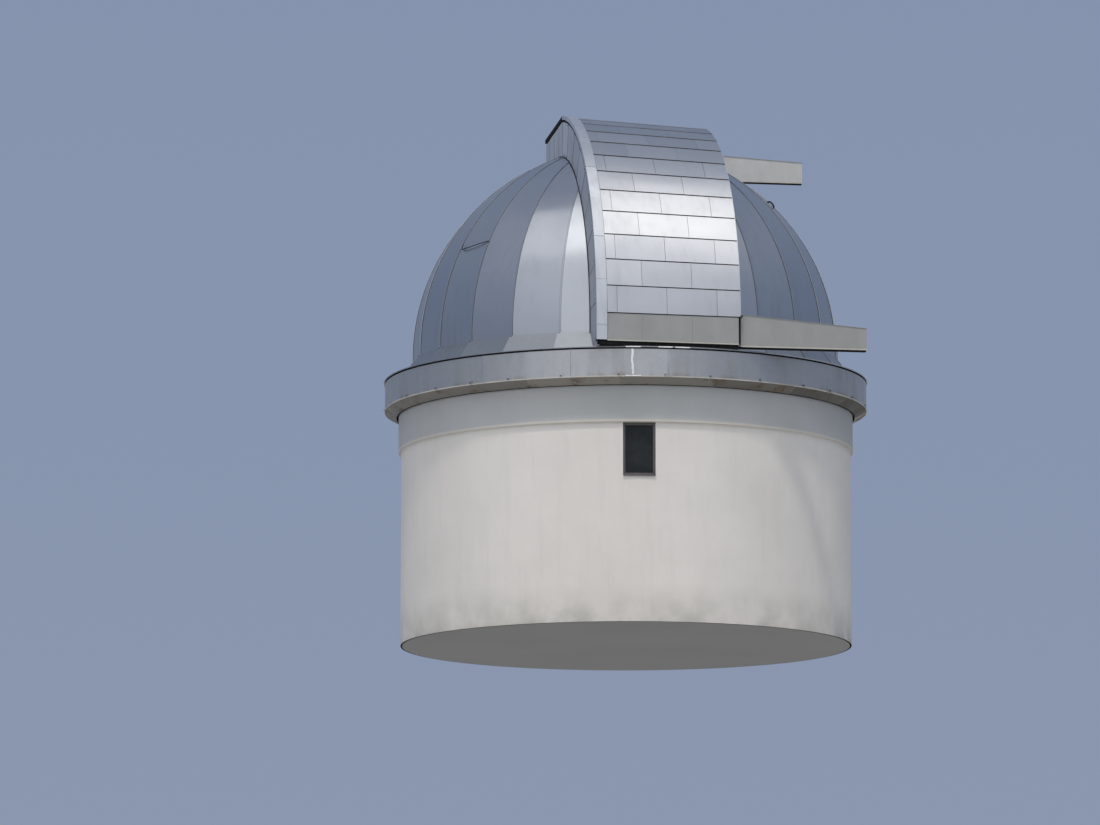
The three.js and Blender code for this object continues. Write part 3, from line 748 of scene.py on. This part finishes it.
def foot_plates():
    """The steep flashing at the ball's foot: one flat lapped plate under each gore, and its bolts."""
    facing = Vector((0.79, 0.0, 0.613))

    def corner(azimuth, edge, lift):
        return on_dome(edge[0], azimuth, edge[1]) + Matrix.Rotation(azimuth - pi / 2, 4, "Z") @ facing * lift

    def pair(edge, share):
        return tuple(corner(-0.006, edge, lift - 0.004 * share).lerp(
            corner(GORE_TURN, edge, lift - 0.004 * share), share) for lift in (0.0085, 0.0055))
    stock = Stock()
    stock.sheet(((FOOT_R, RING_TOP), (BALL_R, FOOT_TOP)), (0.0, 0.25, 0.5, 0.75, 1.0), pair)
    fitted(copied_round("foot_plates", stock, FOOT_SHEET, GORES, GORE_TURN, 21), "dome", "sheet_metal")
    places = []
    for number in range(GORES):
        azimuth = number * GORE_TURN
        for spot in (ball_point(azimuth, asin((FOOT_TOP - 0.012) / BALL_R), 0.012),
                     on_dome(FOOT_R + 0.002, azimuth, RING_TOP + 0.014),
                     on_dome(FOOT_R - 0.014, azimuth + GORE_TURN / 2, RING_TOP + 0.014)):
            places.append((spot, at(1.0, azimuth, 0.25)))
    bolt_heads("foot_bolts", places, 0.010, 0.012)


# ---- Skirt ring ----

def turned_sheet(stock, outline, azimuths, steps, thick, wave=0.0, seed=1, tone=0.5):
    """A thin sheet turned about the axis, given its outer outline from foot to top."""
    def pair(azimuth, spot):
        radius, height = spot
        radius += wave * ripple(azimuth * 5.0, height * 6.0, seed)
        return on_dome(radius, azimuth, height), on_dome(radius - thick, azimuth, height)
    stock.sheet(evenly(*azimuths, steps), outline, pair, tone)


def ring_strip(name, outline, material, *nodes, tone=0.5):
    """A strip that runs right round the ring, given its section."""
    stock = Stock()
    stock.ringed(outline, tone=tone)
    stock.fit(name, material, "dome", "galvanised", *nodes, smooth_angle=40.0)


def skirt_ring():
    """Flat top with a rolled lip, upright fascia of lapped sheets, and a soffit turned in to the wall."""
    top = [
        (RING_IN_R, RING_TOP - 0.006), (RING_R + 0.004, RING_TOP - 0.006), (RING_R + 0.004, RING_TOP - 0.012),
        (RING_R + 0.010, RING_TOP - 0.012), (RING_R + 0.011, RING_TOP - 0.002), (RING_R + 0.010, RING_TOP),
        (RING_IN_R, RING_TOP),
    ]
    ring_strip("ring_top", top, FOOT_SHEET, *numbered("skirt_ring", 6), tone=0.6)
    # painted shade: a near-black strip just under the ring's rolled lip, for the shadow beneath it.
    rim_shadow_band = box_outline(RING_R - 0.012, RING_R - 0.003, RING_TOP - 0.036, RING_TOP - 0.006)
    ring_strip("ring_top_joint", rim_shadow_band, DARK_JOINT_AND_SHADE)
    # painted light and shade: the rolled edge is the light sheet on the right half and the duller sheet on
    # the left half, as the edge catches the light on one side only.
    for name, first, last, sheet in (("ring_bright_edge", 24, 200, RIM_SHEET),
                                     ("ring_dull_edge", 200, 384, BEAD_SHEET)):
        edge = [on_dome(RING_R + 0.0085, radians(a), RING_TOP - 0.0055) for a in range(first, last + 1, 2)]
        beads(name, [edge], "galvanised", sheet, 0.0055, 8)
    fascia()
    soffit()


def fascia():
    """The ring's upright sheets with a bead over each joint, and a hem along their foot."""
    sheet = Stock()
    heights = (RING_FOOT, RING_FOOT + 0.012, RING_FOOT + 0.1, RING_FOOT + 0.2, RING_TOP - 0.030)
    turned_sheet(sheet, [(RING_R - 0.001, z) for z in heights], (-0.004, FASCIA_TURN), 14, 0.003, 0.0022, 2)
    made = copied_round("ring_fascia", sheet, ZINC, FASCIA_SHEETS, FASCIA_TURN, 9)
    tilt_laps(made.data, 0.0035)
    fitted(made, "dome", "galvanised")
    joints = [[on_dome(RING_R + 0.0005, FASCIA_TURN * i - 0.006, z)
               for z in (RING_FOOT + 0.01, RING_TOP - 0.024)] for i in range(FASCIA_SHEETS)]
    beads("fascia_joints", joints, "galvanised", BEAD_SHEET, 0.003)
    hem = Stock()
    turned_sheet(hem, [(RING_R + 0.003, z) for z in (RING_FOOT - 0.004, RING_FOOT + 0.009)],
                 (-0.002, FASCIA_TURN), 14, 0.006, 0.0015, 4)
    fitted(copied_round("ring_hem", hem, LIP_PAINT, FASCIA_SHEETS, FASCIA_TURN, 13), "dome", "galvanised")


def soffit():
    """The rusty sheets that turn in from the fascia's foot to the wall, each sagging a little."""
    outline = ((RING_R - 0.004, RING_FOOT - 0.003, 1.0),
               (SOFFIT_R + 0.07, (RING_FOOT + SOFFIT_LOW) / 2 - 0.006, 1.0), (SOFFIT_R, SOFFIT_LOW, 0.0))

    def pair(step, spot):
        radius, height, slack = spot
        azimuth = FASCIA_TURN * step / 10 * 0.998
        outer = on_dome(radius, azimuth, height + slack * 0.004 * ripple(azimuth * 9.0, 1.0, 8))
        return outer, outer + Vector((0, 0, 0.004))
    sheet = Stock()
    sheet.sheet(range(11), outline, pair)
    made = copied_round("ring_soffit", sheet, SOFFIT_PAINT, FASCIA_SHEETS, FASCIA_TURN, 17, FASCIA_TURN / 2)
    # five sheets in a row get darker from the front towards the right, and a sixth is pale.
    sheet_tones_in_row(made.data, FASCIA_TURN * -1.5, (0.7, 0.6, 0.35, 0.15, 0.05, 0.95))
    fitted(made, "dome", "galvanised")
    lip = box_outline(SOFFIT_R - 0.004, SOFFIT_R + 0.004, SOFFIT_LOW - 0.004, SOFFIT_LOW + 0.03)
    ring_strip("soffit_lip", lip, DARK_JOINT_AND_SHADE)


def tilt_laps(mesh, lift):
    """Lifts each lapped sheet's leading edge a little, so that it lies over its neighbour."""
    for vertex in mesh.vertices:
        azimuth = atan2(vertex.co.x, -vertex.co.y) % tau
        share = ((azimuth + 0.004) % FASCIA_TURN) / FASCIA_TURN
        outwards = Vector((vertex.co.x, vertex.co.y, 0)).normalized()
        vertex.co += outwards * lift * max(0.0, 1.0 - share * 6.0)


def sheet_tones_in_row(mesh, first, tones):
    """Sets how light each sheet is, for some sheets in a row from one azimuth on."""
    values = mesh.attributes["tone"].data
    for vertex in mesh.vertices:
        azimuth = atan2(vertex.co.x, -vertex.co.y)
        number = int(((azimuth - first + 0.0004) % tau) / FASCIA_TURN)
        if number < len(tones):
            values[vertex.index].value = tones[number]


def ring_fixings():
    """Clips and bolts along the fascia's foot."""
    places, clips = [], Stock()
    pick = chance(31)
    for number in range(FASCIA_BOLTS):
        azimuth = radians(FIRST_BOLT + 360.0 / FASCIA_BOLTS * number + pick.uniform(-1.5, 1.5))
        places.append((on_dome(RING_R + 0.002, azimuth, RING_FOOT + 0.022), at(1.0, azimuth, 0.0)))
        head = RING_FOOT + pick.uniform(0.03, 0.05)
        outline = ((RING_R + 0.010, RING_FOOT - 0.006), (RING_R + 0.009, head))
        sides = (azimuth + 0.006, azimuth + 0.006 + 0.010 / RING_R)
        turned_sheet(clips, outline, sides, 2, 0.004, tone=pick.uniform(0.2, 0.9))
    bolt_heads("fascia_bolts", places, 0.009, 0.012)
    clips.fit("fascia_clips", ZINC, "dome", "galvanised")


def sealant_and_glints():
    """An old run of sealant down the fascia's front with a dab at its foot, and three white dabs along the
    ring's top edge that are painted glints.
    """
    sealant_and_glint_marks = Stock()

    def pair(step, across):
        centre = radians(SEALANT_AZ) + 0.0016 * sin(step * 0.8) + (0.004 if step > 11 else 0.0)
        half = (0.013 + 0.005 * ripple(step * 0.45, 0.0, 6)) / RING_R
        height = RING_TOP - 0.03 - SEALANT_LONG * step / SEALANT_STEPS
        return [on_dome(RING_R + out, centre + across * half, height)
                for out in ((0.0035, 0.0015) if across else (0.007, 0.001))]
    sealant_and_glint_marks.sheet(range(SEALANT_STEPS + 1), (-1, 0, 1), pair)
    # painted highlight: the three dabs at the ring's top edge stand for glints of light on it; the dab at the
    # foot is sealant.
    head, foot = (RING_TOP - 0.014, RING_TOP - 0.001), (RING_FOOT - 0.002, RING_FOOT + 0.012)
    for centre, half, heights in ((-8.4, 0.085, head), (-1.0, 0.08, head), (3.0, 0.085, head),
                                  (-8.4, 0.085, foot)):
        sides = (radians(centre) - half / RING_R, radians(centre) + half / RING_R)
        turned_sheet(sealant_and_glint_marks, [(RING_R + 0.0155, z) for z in heights], sides, 6, 0.010)
    sealant_and_glint_marks.fit("sealant_run", SEALANT_AND_GLINT, "dome", "galvanised")


# ---- Cheeks ----

def cheek(side, label):
    """The sheets on one upstand's outer face, with their seams and bolts and a dark bead along each edge:
    dirt along the foot, and painted shade in the gap under the shutter.
    """
    def spot(radius, rise, out):
        return upright(side * (UPSTAND_X + out), radius, rise)
    ball = sqrt(BALL_R ** 2 - UPSTAND_X ** 2)
    top = SHUTTER_R - side * SHUTTER_TAPER * UPSTAND_X - SHUTTER_THICK - 0.014
    first, count = radians(-5.0 if side < 0 else 3.5), 9
    pitch = (radians(CHEEK_ARCH_END) - first) / count
    stock, places, seams, pick = Stock(), [], [], chance(40 + side)
    for number in range(count):
        begin, end = first + pitch * number + 0.0012, first + pitch * (number + 1)
        lift = 0.001 + 0.002 * (number % 2)
        stock.layer(spot, evenly(begin, end, 3), (ball + 0.004, (ball + top) / 2, top), lift + 0.003, lift,
                    pick.uniform(0.0, 1.0))
        if number:
            seams.append([spot(radius, begin, 0.004) for radius in evenly(ball + 0.015, top - 0.015, 4)])
        for radius, rise in ((ball + 0.03, begin + 0.012), (ball + 0.03, (begin + end) / 2),
                             (top - 0.03, begin + 0.012)):
            places.append((spot(radius, rise, 0.006), (side, 0, 0)))
    seams += rear_sheets(stock, side, top, ball, pick)
    stock.fit(f"cheek_sheets_{label}", CHEEK_SHEET, "dome", "sheet_metal")
    bolt_heads(f"cheek_bolts_{label}", places, 0.008, 0.009)
    # painted shade: the dark bead along the top edge stands for the shade in the gap under the shutter; the
    # one along the foot is dirt.
    edges = [[spot(radius, rise, out) for rise in evenly(first, radians(last), 60)] for radius, last, out
             in ((ball + 0.006, CHEEK_FOOT_END, 0.006), (top - 0.006, CHEEK_ARCH_END, 0.005))]
    beads(f"cheek_foot_bead_{label}", edges, "sheet_metal", DARK_JOINT_AND_SHADE, 0.008)
    beads(f"cheek_seams_{label}", seams, "sheet_metal", BEAD_SHEET, 0.005)


def rear_sheets(stock, side, top, ball, pick):
    """Upright sheets on the cheek's part behind the arch, under its falling top edge. Returns their seams."""
    begin = -top * cos(radians(CHEEK_ARCH_END))
    end = SHUTTER_REAR - (0.002 if side < 0 else 0.047)
    high = top * sin(radians(ARC_END)) - 0.004
    count, seams = 4, []
    for number in range(count):
        near = begin + (end - begin) * number / count + 0.002
        far = begin + (end - begin) * (number + 1) / count
        lift = 0.003 - 0.002 * (number % 2)

        def heights(y):
            return (sqrt(max(ball ** 2 - y * y, 0.0)) + 0.004,
                    high - TOP_DROP * (y - begin) / (SHUTTER_REAR - begin))

        def pair(y, edge):
            return [(side * (UPSTAND_X + out), y, SPRING + heights(y)[edge]) for out in (lift + 0.003, lift)]
        stock.sheet((near, (near + far) / 2, far), (0, 1), pair, pick.uniform(0.0, 1.0))
        foot, head = heights(near)
        seams.append([(side * (UPSTAND_X + 0.004), near, SPRING + z)
                      for z in evenly(foot + 0.012, head - 0.012, 4)])
    return seams


# ---- Shutter ----

def shutter_radius(x):
    return SHUTTER_R - SHUTTER_TAPER * x


def on_arch(x, level, out):
    """A point on the shutter's arch. Its level is in degrees, from the front upwards."""
    return upright(x, shutter_radius(x) + out, radians(level))


def on_top(x, share, out):
    """A point on the shutter's falling top: share 0 at the arch, 1 at the rear."""
    end = radians(ARC_END)
    front, height = -shutter_radius(x) * cos(end), shutter_radius(x) * sin(end)
    return Vector((x, front + (SHUTTER_REAR - front) * share, SPRING + height - TOP_DROP * share + out))


REAR_LEVEL = 180.0
ALL_LEVELS = [*evenly(ARC_START, ARC_END, 48), REAR_LEVEL]


def over_all(x, level, out):
    """A point on the arch, or at the top's rear edge for the last level of all."""
    return on_top(x, 1.0, out) if level == REAR_LEVEL else on_arch(x, level, out)


def plate_edges(course):
    """The side edges of each plate in a course. The joints lie elsewhere in every other course."""
    edges = [LEFT_PLATES, *PLATE_JOINTS[course % 2], SHUTTER_HALF]
    return list(zip(edges[:-1], edges[1:]))


def lapped_plate(stock, x0, x1, low, high, place, pick, steps=4, proud=0.007, painted_dimming=0.5, gap=PLATE_GAP):
    """One thin plate of a course: its foot stands proud of the course below, its head is tucked in."""
    crown, lean = pick.uniform(-0.001, 0.0016), pick.uniform(-0.0006, 0.0006)

    def pair(up, u):
        x, level = x0 + gap / 2 + (x1 - x0 - gap) * u, low + (high - low) * up
        swell = crown * sin(pi * u) * sin(pi * up) + lean * (u - 0.5)
        return place(x, level, proud * (1.0 - up) + swell), place(x, level, -0.008)
    # painted light: the plate's tone falls as its painted dimming rises, with a little random tone on top.
    stock.sheet(evenly(0.0, 1.0, steps), evenly(0.0, 1.0, 4), pair, 1.0 - painted_dimming + pick.uniform(-0.12, 0.12))


def shutter_courses():
    """Horizontal courses of plates, laid like brickwork over a near-black backing that shows in the gaps as
    dark joints and painted shade.
    """
    stock, pick = Stock(), chance(77)
    lap = degrees(0.010 / SHUTTER_R)
    for course in range(COURSES):
        low, high = ARC_START + COURSE * course + lap, ARC_START + COURSE * (course + 1)
        for x0, x1 in plate_edges(course):
            # painted highlight: plates are lightest in the course about 3.3 up from the foot, where the
            # light's reflection falls, and darker above and below it.
            lapped_plate(stock, x0, x1, low, high, on_arch, pick, painted_dimming=abs(course - 3.3) / 8.5,
                         gap=PLATE_GAP if course < TIGHT_FROM else TIGHT_GAP)
    # painted shade: the rows of the falling top are darker still.
    for row in range(TOP_ROWS):
        for x0, x1 in plate_edges(row):
            lapped_plate(stock, x0, x1, row / TOP_ROWS + 0.008, (row + 1) / TOP_ROWS, on_top, pick, 3,
                         painted_dimming=0.95, gap=TIGHT_GAP)
    stock.fit("shutter_courses", COURSE_SHEET, "shutter", "sheet_metal", *numbered("shutter_panel", 4),
              "shutter_top", smooth_angle=20.0)
    # painted shade: the black backing stands for the shade in the gaps under each course's foot, as well as
    # dark joints.
    backing = Stock()
    backing.layer(over_all, ALL_LEVELS, (-SHUTTER_HALF, SHUTTER_HALF), BACKING_OUT, -SHUTTER_THICK)
    backing.fit("shutter_backing", DARK_JOINT_AND_SHADE, "shutter", "sheet_metal")


def shutter_rim():
    """The raised border along the left edge, in lapped lengths, folded down over the shutter's side."""
    stock, pick = Stock(), chance(90)
    foot_level = -5.4
    joints = [foot_level, -1.5, 9.5, 20.3, 31.0, 41.5, 52.0, 62.5, 73.0, ARC_END]
    left, right = -SHUTTER_HALF, -SHUTTER_HALF + RIM_W

    def place(x, level, out):
        if level >= ARC_START:
            return on_arch(x, level, out)
        foot = on_arch(x, ARC_START, out)
        share = (ARC_START - level) / (ARC_START - foot_level)
        return Vector((foot.x, foot.y, foot.z + (SPRING + APRON_HEM - foot.z) * share))

    def section(level, lift):
        over, under = RIM_THICK * 0.75 + lift, -SHUTTER_THICK
        return [place(x, level, out) for x, out in (
            (left - 0.003, under), (left - 0.003, over - 0.003), (left, over), (right - 0.002, over),
            (right, over - 0.003), (right, 0.001), (right - 0.006, 0.001), (right - 0.006, over - 0.005),
            (left + 0.003, over - 0.005), (left + 0.003, under))]
    for number, (low, high) in enumerate(zip(joints[:-1], joints[1:])):
        stock.swept([section(level, 0.002 * (number % 2)) for level in evenly(low + 0.06, high, 6)],
                    pick.uniform(0.0, 1.0))
    stock.fit("shutter_rim_strip", RIM_SHEET, "shutter", "sheet_metal", "shutter_rim")
    cover = Stock()
    for number in range(3):
        cover.layer(on_top, (number / 3 + 0.004, (number + 1) / 3), (left + 0.001, right),
                    RIM_THICK * 0.75, -0.004, pick.uniform(0.0, 1.0))
    cover.fit("top_border", CHEEK_SHEET, "shutter", "sheet_metal")
    # painted shade: a near-black strip along the top's left edge, for the shade under the overhanging roof
    # sheet.
    edge = Stock()
    outline = box_outline(-SHUTTER_THICK, 0.013, left - 0.003, left + 0.003)
    edge.swept([[on_top(x, share, out) for out, x in outline] for share in (0.0, 0.5, 1.0)])
    edge.fit("top_edge_strip", DARK_JOINT_AND_SHADE, "shutter", "sheet_metal")


def shutter_right_edge():
    """A narrow folded edge down the shutter's right side."""
    outline = box_outline(SHUTTER_HALF - 0.004, SHUTTER_HALF + 0.002, -SHUTTER_THICK, 0.004)
    stock = Stock()
    stock.swept([[over_all(x, level, out) for x, out in outline] for level in ALL_LEVELS], 0.4)
    stock.fit("shutter_right_edge", RIM_SHEET, "shutter", "sheet_metal")


def on_apron(x, share, out):
    """A point on the shutter's upright foot: share 0 at its hem, and 1 where the arch begins."""
    top = on_arch(x, ARC_START, out)
    return Vector((x, top.y, SPRING + APRON_HEM + (top.z - SPRING - APRON_HEM) * share))


def apron():
    """The plain upright foot of the shutter: its sheets, backing, two shoes, knob, a dark strip of painted
    shade under its hem, and hem lip.
    """
    stock, pick = Stock(), chance(55)
    for x0, x1 in plate_edges(1):
        lapped_plate(stock, x0, min(x1, APRON_RIGHT), 0.02, 1.0, on_apron, pick, 4, 0.004, gap=TIGHT_GAP)
    stock.fit("apron_sheets", RAIL_PAINT, "shutter", "sheet_metal", "shutter_apron")
    # painted shade: the black backing in the apron's plate gaps, as well as dark joints; the two shoes are
    # black parts.
    backing = Stock()
    backing.layer(on_apron, (0.0, 1.0), (-SHUTTER_HALF, SHUTTER_HALF), BACKING_OUT, -SHUTTER_THICK)
    for x in (-SHOE_X, SHOE_X):
        back = -(shutter_radius(x) - SHUTTER_THICK) - 0.012
        backing.block((x - SHOE_HALF, back, SPRING + SHOE_LOW),
                      (x + SHOE_HALF, LOW_RAIL_FRONT - 0.002, SPRING + SHOE_TOP))
    backing.fit("apron_backing", DARK_JOINT_AND_SHADE, "shutter", "sheet_metal")
    knob = on_arch(SHUTTER_HALF + 0.004, ARC_START + 0.3, -0.006)
    bolt_heads("apron_knob", [(knob, (0.3, -1, 0))], 0.02, 0.026, "shutter")
    # painted shade: a near-black strip under the apron's hem, for the deep shade in the gap above the ring.
    shade_strip = Stock()
    edges = ((0.0, Vector((0, 0, SHADE_STRIP_LOW - APRON_HEM))), (0.05, Vector()))
    shade_strip.sheet(evenly(-SHUTTER_HALF + 0.012, APRON_RIGHT - 0.004, 8), edges,
               lambda x, edge: [on_apron(x, edge[0], out) + edge[1] for out in (-0.010, -0.018)])
    shade_strip.fit("apron_seal", DARK_JOINT_AND_SHADE, "shutter", "dark_steel")
    lip, rise = Stock(), Vector((0, 0, 0.006))
    lip.sheet((0.012, -0.006), (LEFT_PLATES, APRON_RIGHT),
              lambda out, x: (on_apron(x, 0.0, out) + rise, on_apron(x, 0.0, out) - rise))
    lip.fit("apron_lip", LIP_PAINT, "shutter", "sheet_metal")


# ---- Rails ----

def rails():
    """Thin lips, cappings and near-black strips under the two rails, which are painted shade."""
    lips, tops, under = Stock(), Stock(), Stock()
    low, high = SPRING + LOW_RAIL_LOW, SPRING + HIGH_RAIL_LOW
    lips.block((SHUTTER_HALF + 0.012, LOW_RAIL_FRONT - 0.010, low - 0.006),
               (LOW_RAIL_END + 0.001, LOW_RAIL_FRONT - 0.0015, low + 0.0101), 0.7)
    lips.block((SHUTTER_HALF, HIGH_RAIL_FRONT - 0.004, high - 0.003),
               (HIGH_RAIL_END + 0.001, HIGH_RAIL_FRONT - 0.0002, high + 0.012), 0.7)
    lips.fit("rail_lips", LIP_PAINT, "dome", "rail_paint")
    for end, front, top, tip in ((LOW_RAIL_END, LOW_RAIL_FRONT, LOW_RAIL_TOP, LOW_RAIL_TIP),
                                 (HIGH_RAIL_END, HIGH_RAIL_FRONT, HIGH_RAIL_TOP, HIGH_RAIL_TIP)):
        tops.sheet(((SHUTTER_HALF, top), (end + 0.004, tip)), (front - 0.006, front + RAIL_DEPTH + 0.006),
                   lambda spot, y: [(spot[0], y, SPRING + spot[1] + out) for out in (0.003, -0.001)], 0.6)
    tops.fit("rail_cappings", RAIL_PAINT, "dome", "rail_paint")
    # painted shade: near-black strips under both rails, for the shade on their undersides.
    under.block((-0.79, LOW_RAIL_FRONT + 0.003, low - 0.022),
                (LOW_RAIL_END - 0.004, LOW_RAIL_FRONT + RAIL_DEPTH - 0.004, low - 0.003))
    under.block((SHUTTER_HALF, HIGH_RAIL_FRONT + 0.003, high - 0.014),
                (HIGH_RAIL_END - 0.003, HIGH_RAIL_FRONT + RAIL_DEPTH - 0.003, high - 0.003))
    under.fit("rail_undersides", DARK_JOINT_AND_SHADE, "dome", "rail_paint")


def small_fittings():
    """A thin rod with a hook on a left gore, and a small hook on a right one."""
    for name, radius, places in (
        ("gore_rod", 0.005, [(-67.0 + 2.0 * i, 26.0 + 0.17 * i, 0.016) for i in range(7)]),
        ("gore_rod_hook", 0.005, [(-67.0, 26.0, 0.016), (-67.6, 26.9, 0.022), (-67.4, 27.9, 0.024)]),
        ("gore_hook", 0.010, [(62.5, 45.6, 0.008), (62.0, 44.9, 0.03), (61.0, 44.0, 0.034),
                              (59.8, 42.8, 0.03), (59.5, 42.4, 0.012)]),
    ):
        line = [ball_point(radians(azimuth), radians(rise), out) for azimuth, rise, out in places]
        beads(name, [line], "dark_steel", DARK_JOINT_AND_SHADE, radius, 8)


# ---- Solids kept as they are, with their finishes ----

def coat(material, *names):
    for name in names:
        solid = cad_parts[name]
        solid.data.materials.clear()
        solid.data.materials.append(material)


def coat_solids():
    coat(CONCRETE, "floor_slab")
    coat(FRAME_PAINT, "window_frame")
    coat(GLASS, "window_pane")
    coat(STEEL, *numbered("support_roller", 6), *numbered("track_rail", 4))
    coat(LINING, "gores_left_front", "gores_left_middle", "gores_left_rear", "gores_rear", "gores_right_rear",
         "gores_right_middle", "gores_right_front", "slit_sill")
    coat(CHEEK_SHEET, "upstand_left", "upstand_right", "shutter_end_plate")
    coat(RAIL_PAINT, "lower_rail")
    coat(PALE_RAIL_PAINT, "upper_rail")


# ---- Stage, light and camera ----

BALL_MIDDLE = Vector((0, 0, SPRING))
FLOOR_R, FLOOR_SIDES = 40.0, 96
GLOW_AZIMUTH, GLOW_RISE = radians(-12.0), radians(70.0)
SUN_AZIMUTH, SUN_RISE = radians(-12.0), radians(68.5)
PHOTO_W, PHOTO_H = 1100, 825
CAMERA_TURN, CAMERA_PITCH = radians(10.2), radians(9.0)
SENSOR_MM = 36.0
FOCAL_PX = 6000.0
PX_PER_M = 84.8
BALL_AT_PX = (625.5, 360.0)


def stage():
    """A plain pale floor that shows only from above, because the dome is seen from below its own foot."""
    mesh = bpy.data.meshes.new("studio_floor")
    rim = [(FLOOR_R * cos(a), FLOOR_R * sin(a), -0.002) for a in full_turn(FLOOR_SIDES)]
    mesh.from_pydata(rim, [], [tuple(range(FLOOR_SIDES))])
    floor = placed("studio_floor", mesh)
    f = Finish("studio_floor_paint", 0.0, 0.9)
    f.color(f.ramp(f.cloud(0.6, 3.0), (0.3, (0.45, 0.45, 0.445)), (0.7, (0.49, 0.49, 0.485))))
    away = f.out("ShaderNodeVectorMath", {0: f.place}, "Value", operation="LENGTH")
    below = f.out("ShaderNodeNewGeometry", output="Backfacing")
    unseen = f.reckon("MULTIPLY", below, f.reckon("GREATER_THAN", away, WALL_R - 0.02))
    inputs = {"Fac": unseen, 1: f.shader.outputs["BSDF"], 2: f.out("ShaderNodeBsdfTransparent")}
    f.feed(f.tree.nodes["Material Output"].inputs["Surface"], f.out("ShaderNodeMixShader", inputs))
    mesh.materials.append(f.material)
    floor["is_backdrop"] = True


def surroundings():
    """A soft surround, paler near the horizon and deeper overhead, with a broad glow high in front."""
    world = bpy.data.worlds.new("studio_surround")
    bpy.context.scene.world = world
    world.use_nodes = True
    w = Wiring(world.node_tree)
    place = w.out("ShaderNodeTexCoord", output="Generated")
    height = w.out("ShaderNodeSeparateXYZ", {"Vector": place}, "Z")
    sky = w.ramp(w.span(height, -1.0, 1.0), (0.0, (0.30, 0.29, 0.28)), (0.44, (0.30, 0.31, 0.33)),
                 (0.50, (0.27, 0.32, 0.43)), (0.66, (0.22, 0.28, 0.42)), (1.0, (0.20, 0.26, 0.40)))
    inputs = {0: place, 1: towards(GLOW_AZIMUTH, GLOW_RISE)}
    near = w.out("ShaderNodeVectorMath", inputs, "Value", operation="DOT_PRODUCT")
    glow = w.ramp(w.span(near, 0.0, 1.0), (0.15, (0.0, 0.0, 0.0)),
                  (0.35, (0.07, 0.075, 0.075)), (0.55, (0.14, 0.14, 0.135)), (1.0, (0.18, 0.17, 0.15)))
    back = w.tree.nodes["Background"]
    w.feed(back.inputs["Color"], w.blend(1.0, sky, glow, "ADD"))
    back.inputs["Strength"].default_value = 1.0


def aimed(made, place, aim):
    """Puts a lamp or a camera in its place, and turns it to what it looks at."""
    made.location = place
    made.rotation_euler = (Vector(aim) - Vector(place)).to_track_quat("-Z", "Y").to_euler()


def lamp(name, kind, energy, place, aim, color):
    data = bpy.data.lights.new(name, kind)
    data.energy, data.color = energy, color
    made = placed(name, data)
    aimed(made, place, aim)
    made.visible_camera = False
    return made


def lights():
    """A soft sun that leaves no glint, and two large softboxes in front of the dome."""
    sun = lamp("key", "SUN", 1.3, towards(SUN_AZIMUTH, SUN_RISE) * 20, (0, 0, 0), (1.0, 0.96, 0.90))
    sun.data.angle = radians(5.0)
    sun.visible_glossy = False
    for name, power, azimuth, rise, away, size in (
        ("front_softbox", 10800.0, -22.0, 30.0, 46.0, (74.0, 70.0)),
        ("high_softbox", 1850.0, -12.0, 69.3, 26.0, (32.0, 15.0)),
    ):
        place = towards(radians(azimuth), radians(rise)) * away + BALL_MIDDLE
        box = lamp(name, "AREA", power, place, BALL_MIDDLE, (1.0, 0.975, 0.93))
        box.data.shape = "RECTANGLE"
        box.data.size, box.data.size_y = size


def camera():
    """A long lens, low and to the left of the shutter's front, as the photograph was taken."""
    right = Vector((cos(CAMERA_TURN), -sin(CAMERA_TURN), 0.0))
    up = at(sin(CAMERA_PITCH), -CAMERA_TURN, cos(CAMERA_PITCH))
    aside, above = (BALL_AT_PX[0] - PHOTO_W / 2) / PX_PER_M, (BALL_AT_PX[1] - PHOTO_H / 2) / PX_PER_M
    place = BALL_MIDDLE + towards(-CAMERA_TURN, -CAMERA_PITCH) * (FOCAL_PX / PX_PER_M)
    data = bpy.data.cameras.new("long_lens")
    data.sensor_width = SENSOR_MM
    data.lens = FOCAL_PX / PHOTO_W * SENSOR_MM
    data.clip_end = 500.0
    made = placed("long_lens", data)
    aimed(made, place, BALL_MIDDLE - right * aside + up * above)
    bpy.context.scene.camera = made


camera()
stage()
surroundings()
lights()
coat_solids()
wall()
window_sill()
gores()
seam_beads()
foot_plates()
skirt_ring()
ring_fixings()
sealant_and_glints()
cheek(-1, "left")
cheek(1, "right")
shutter_courses()
shutter_rim()
shutter_right_edge()
apron()
rails()
small_fittings()
bpy.context.scene.view_settings.view_transform = "Standard"

dressed_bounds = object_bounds()
plain = lambda box: [[float(c) for c in corner] for corner in box]
{"solids": plain(solid_bounds), "dressed": plain(dressed_bounds)}
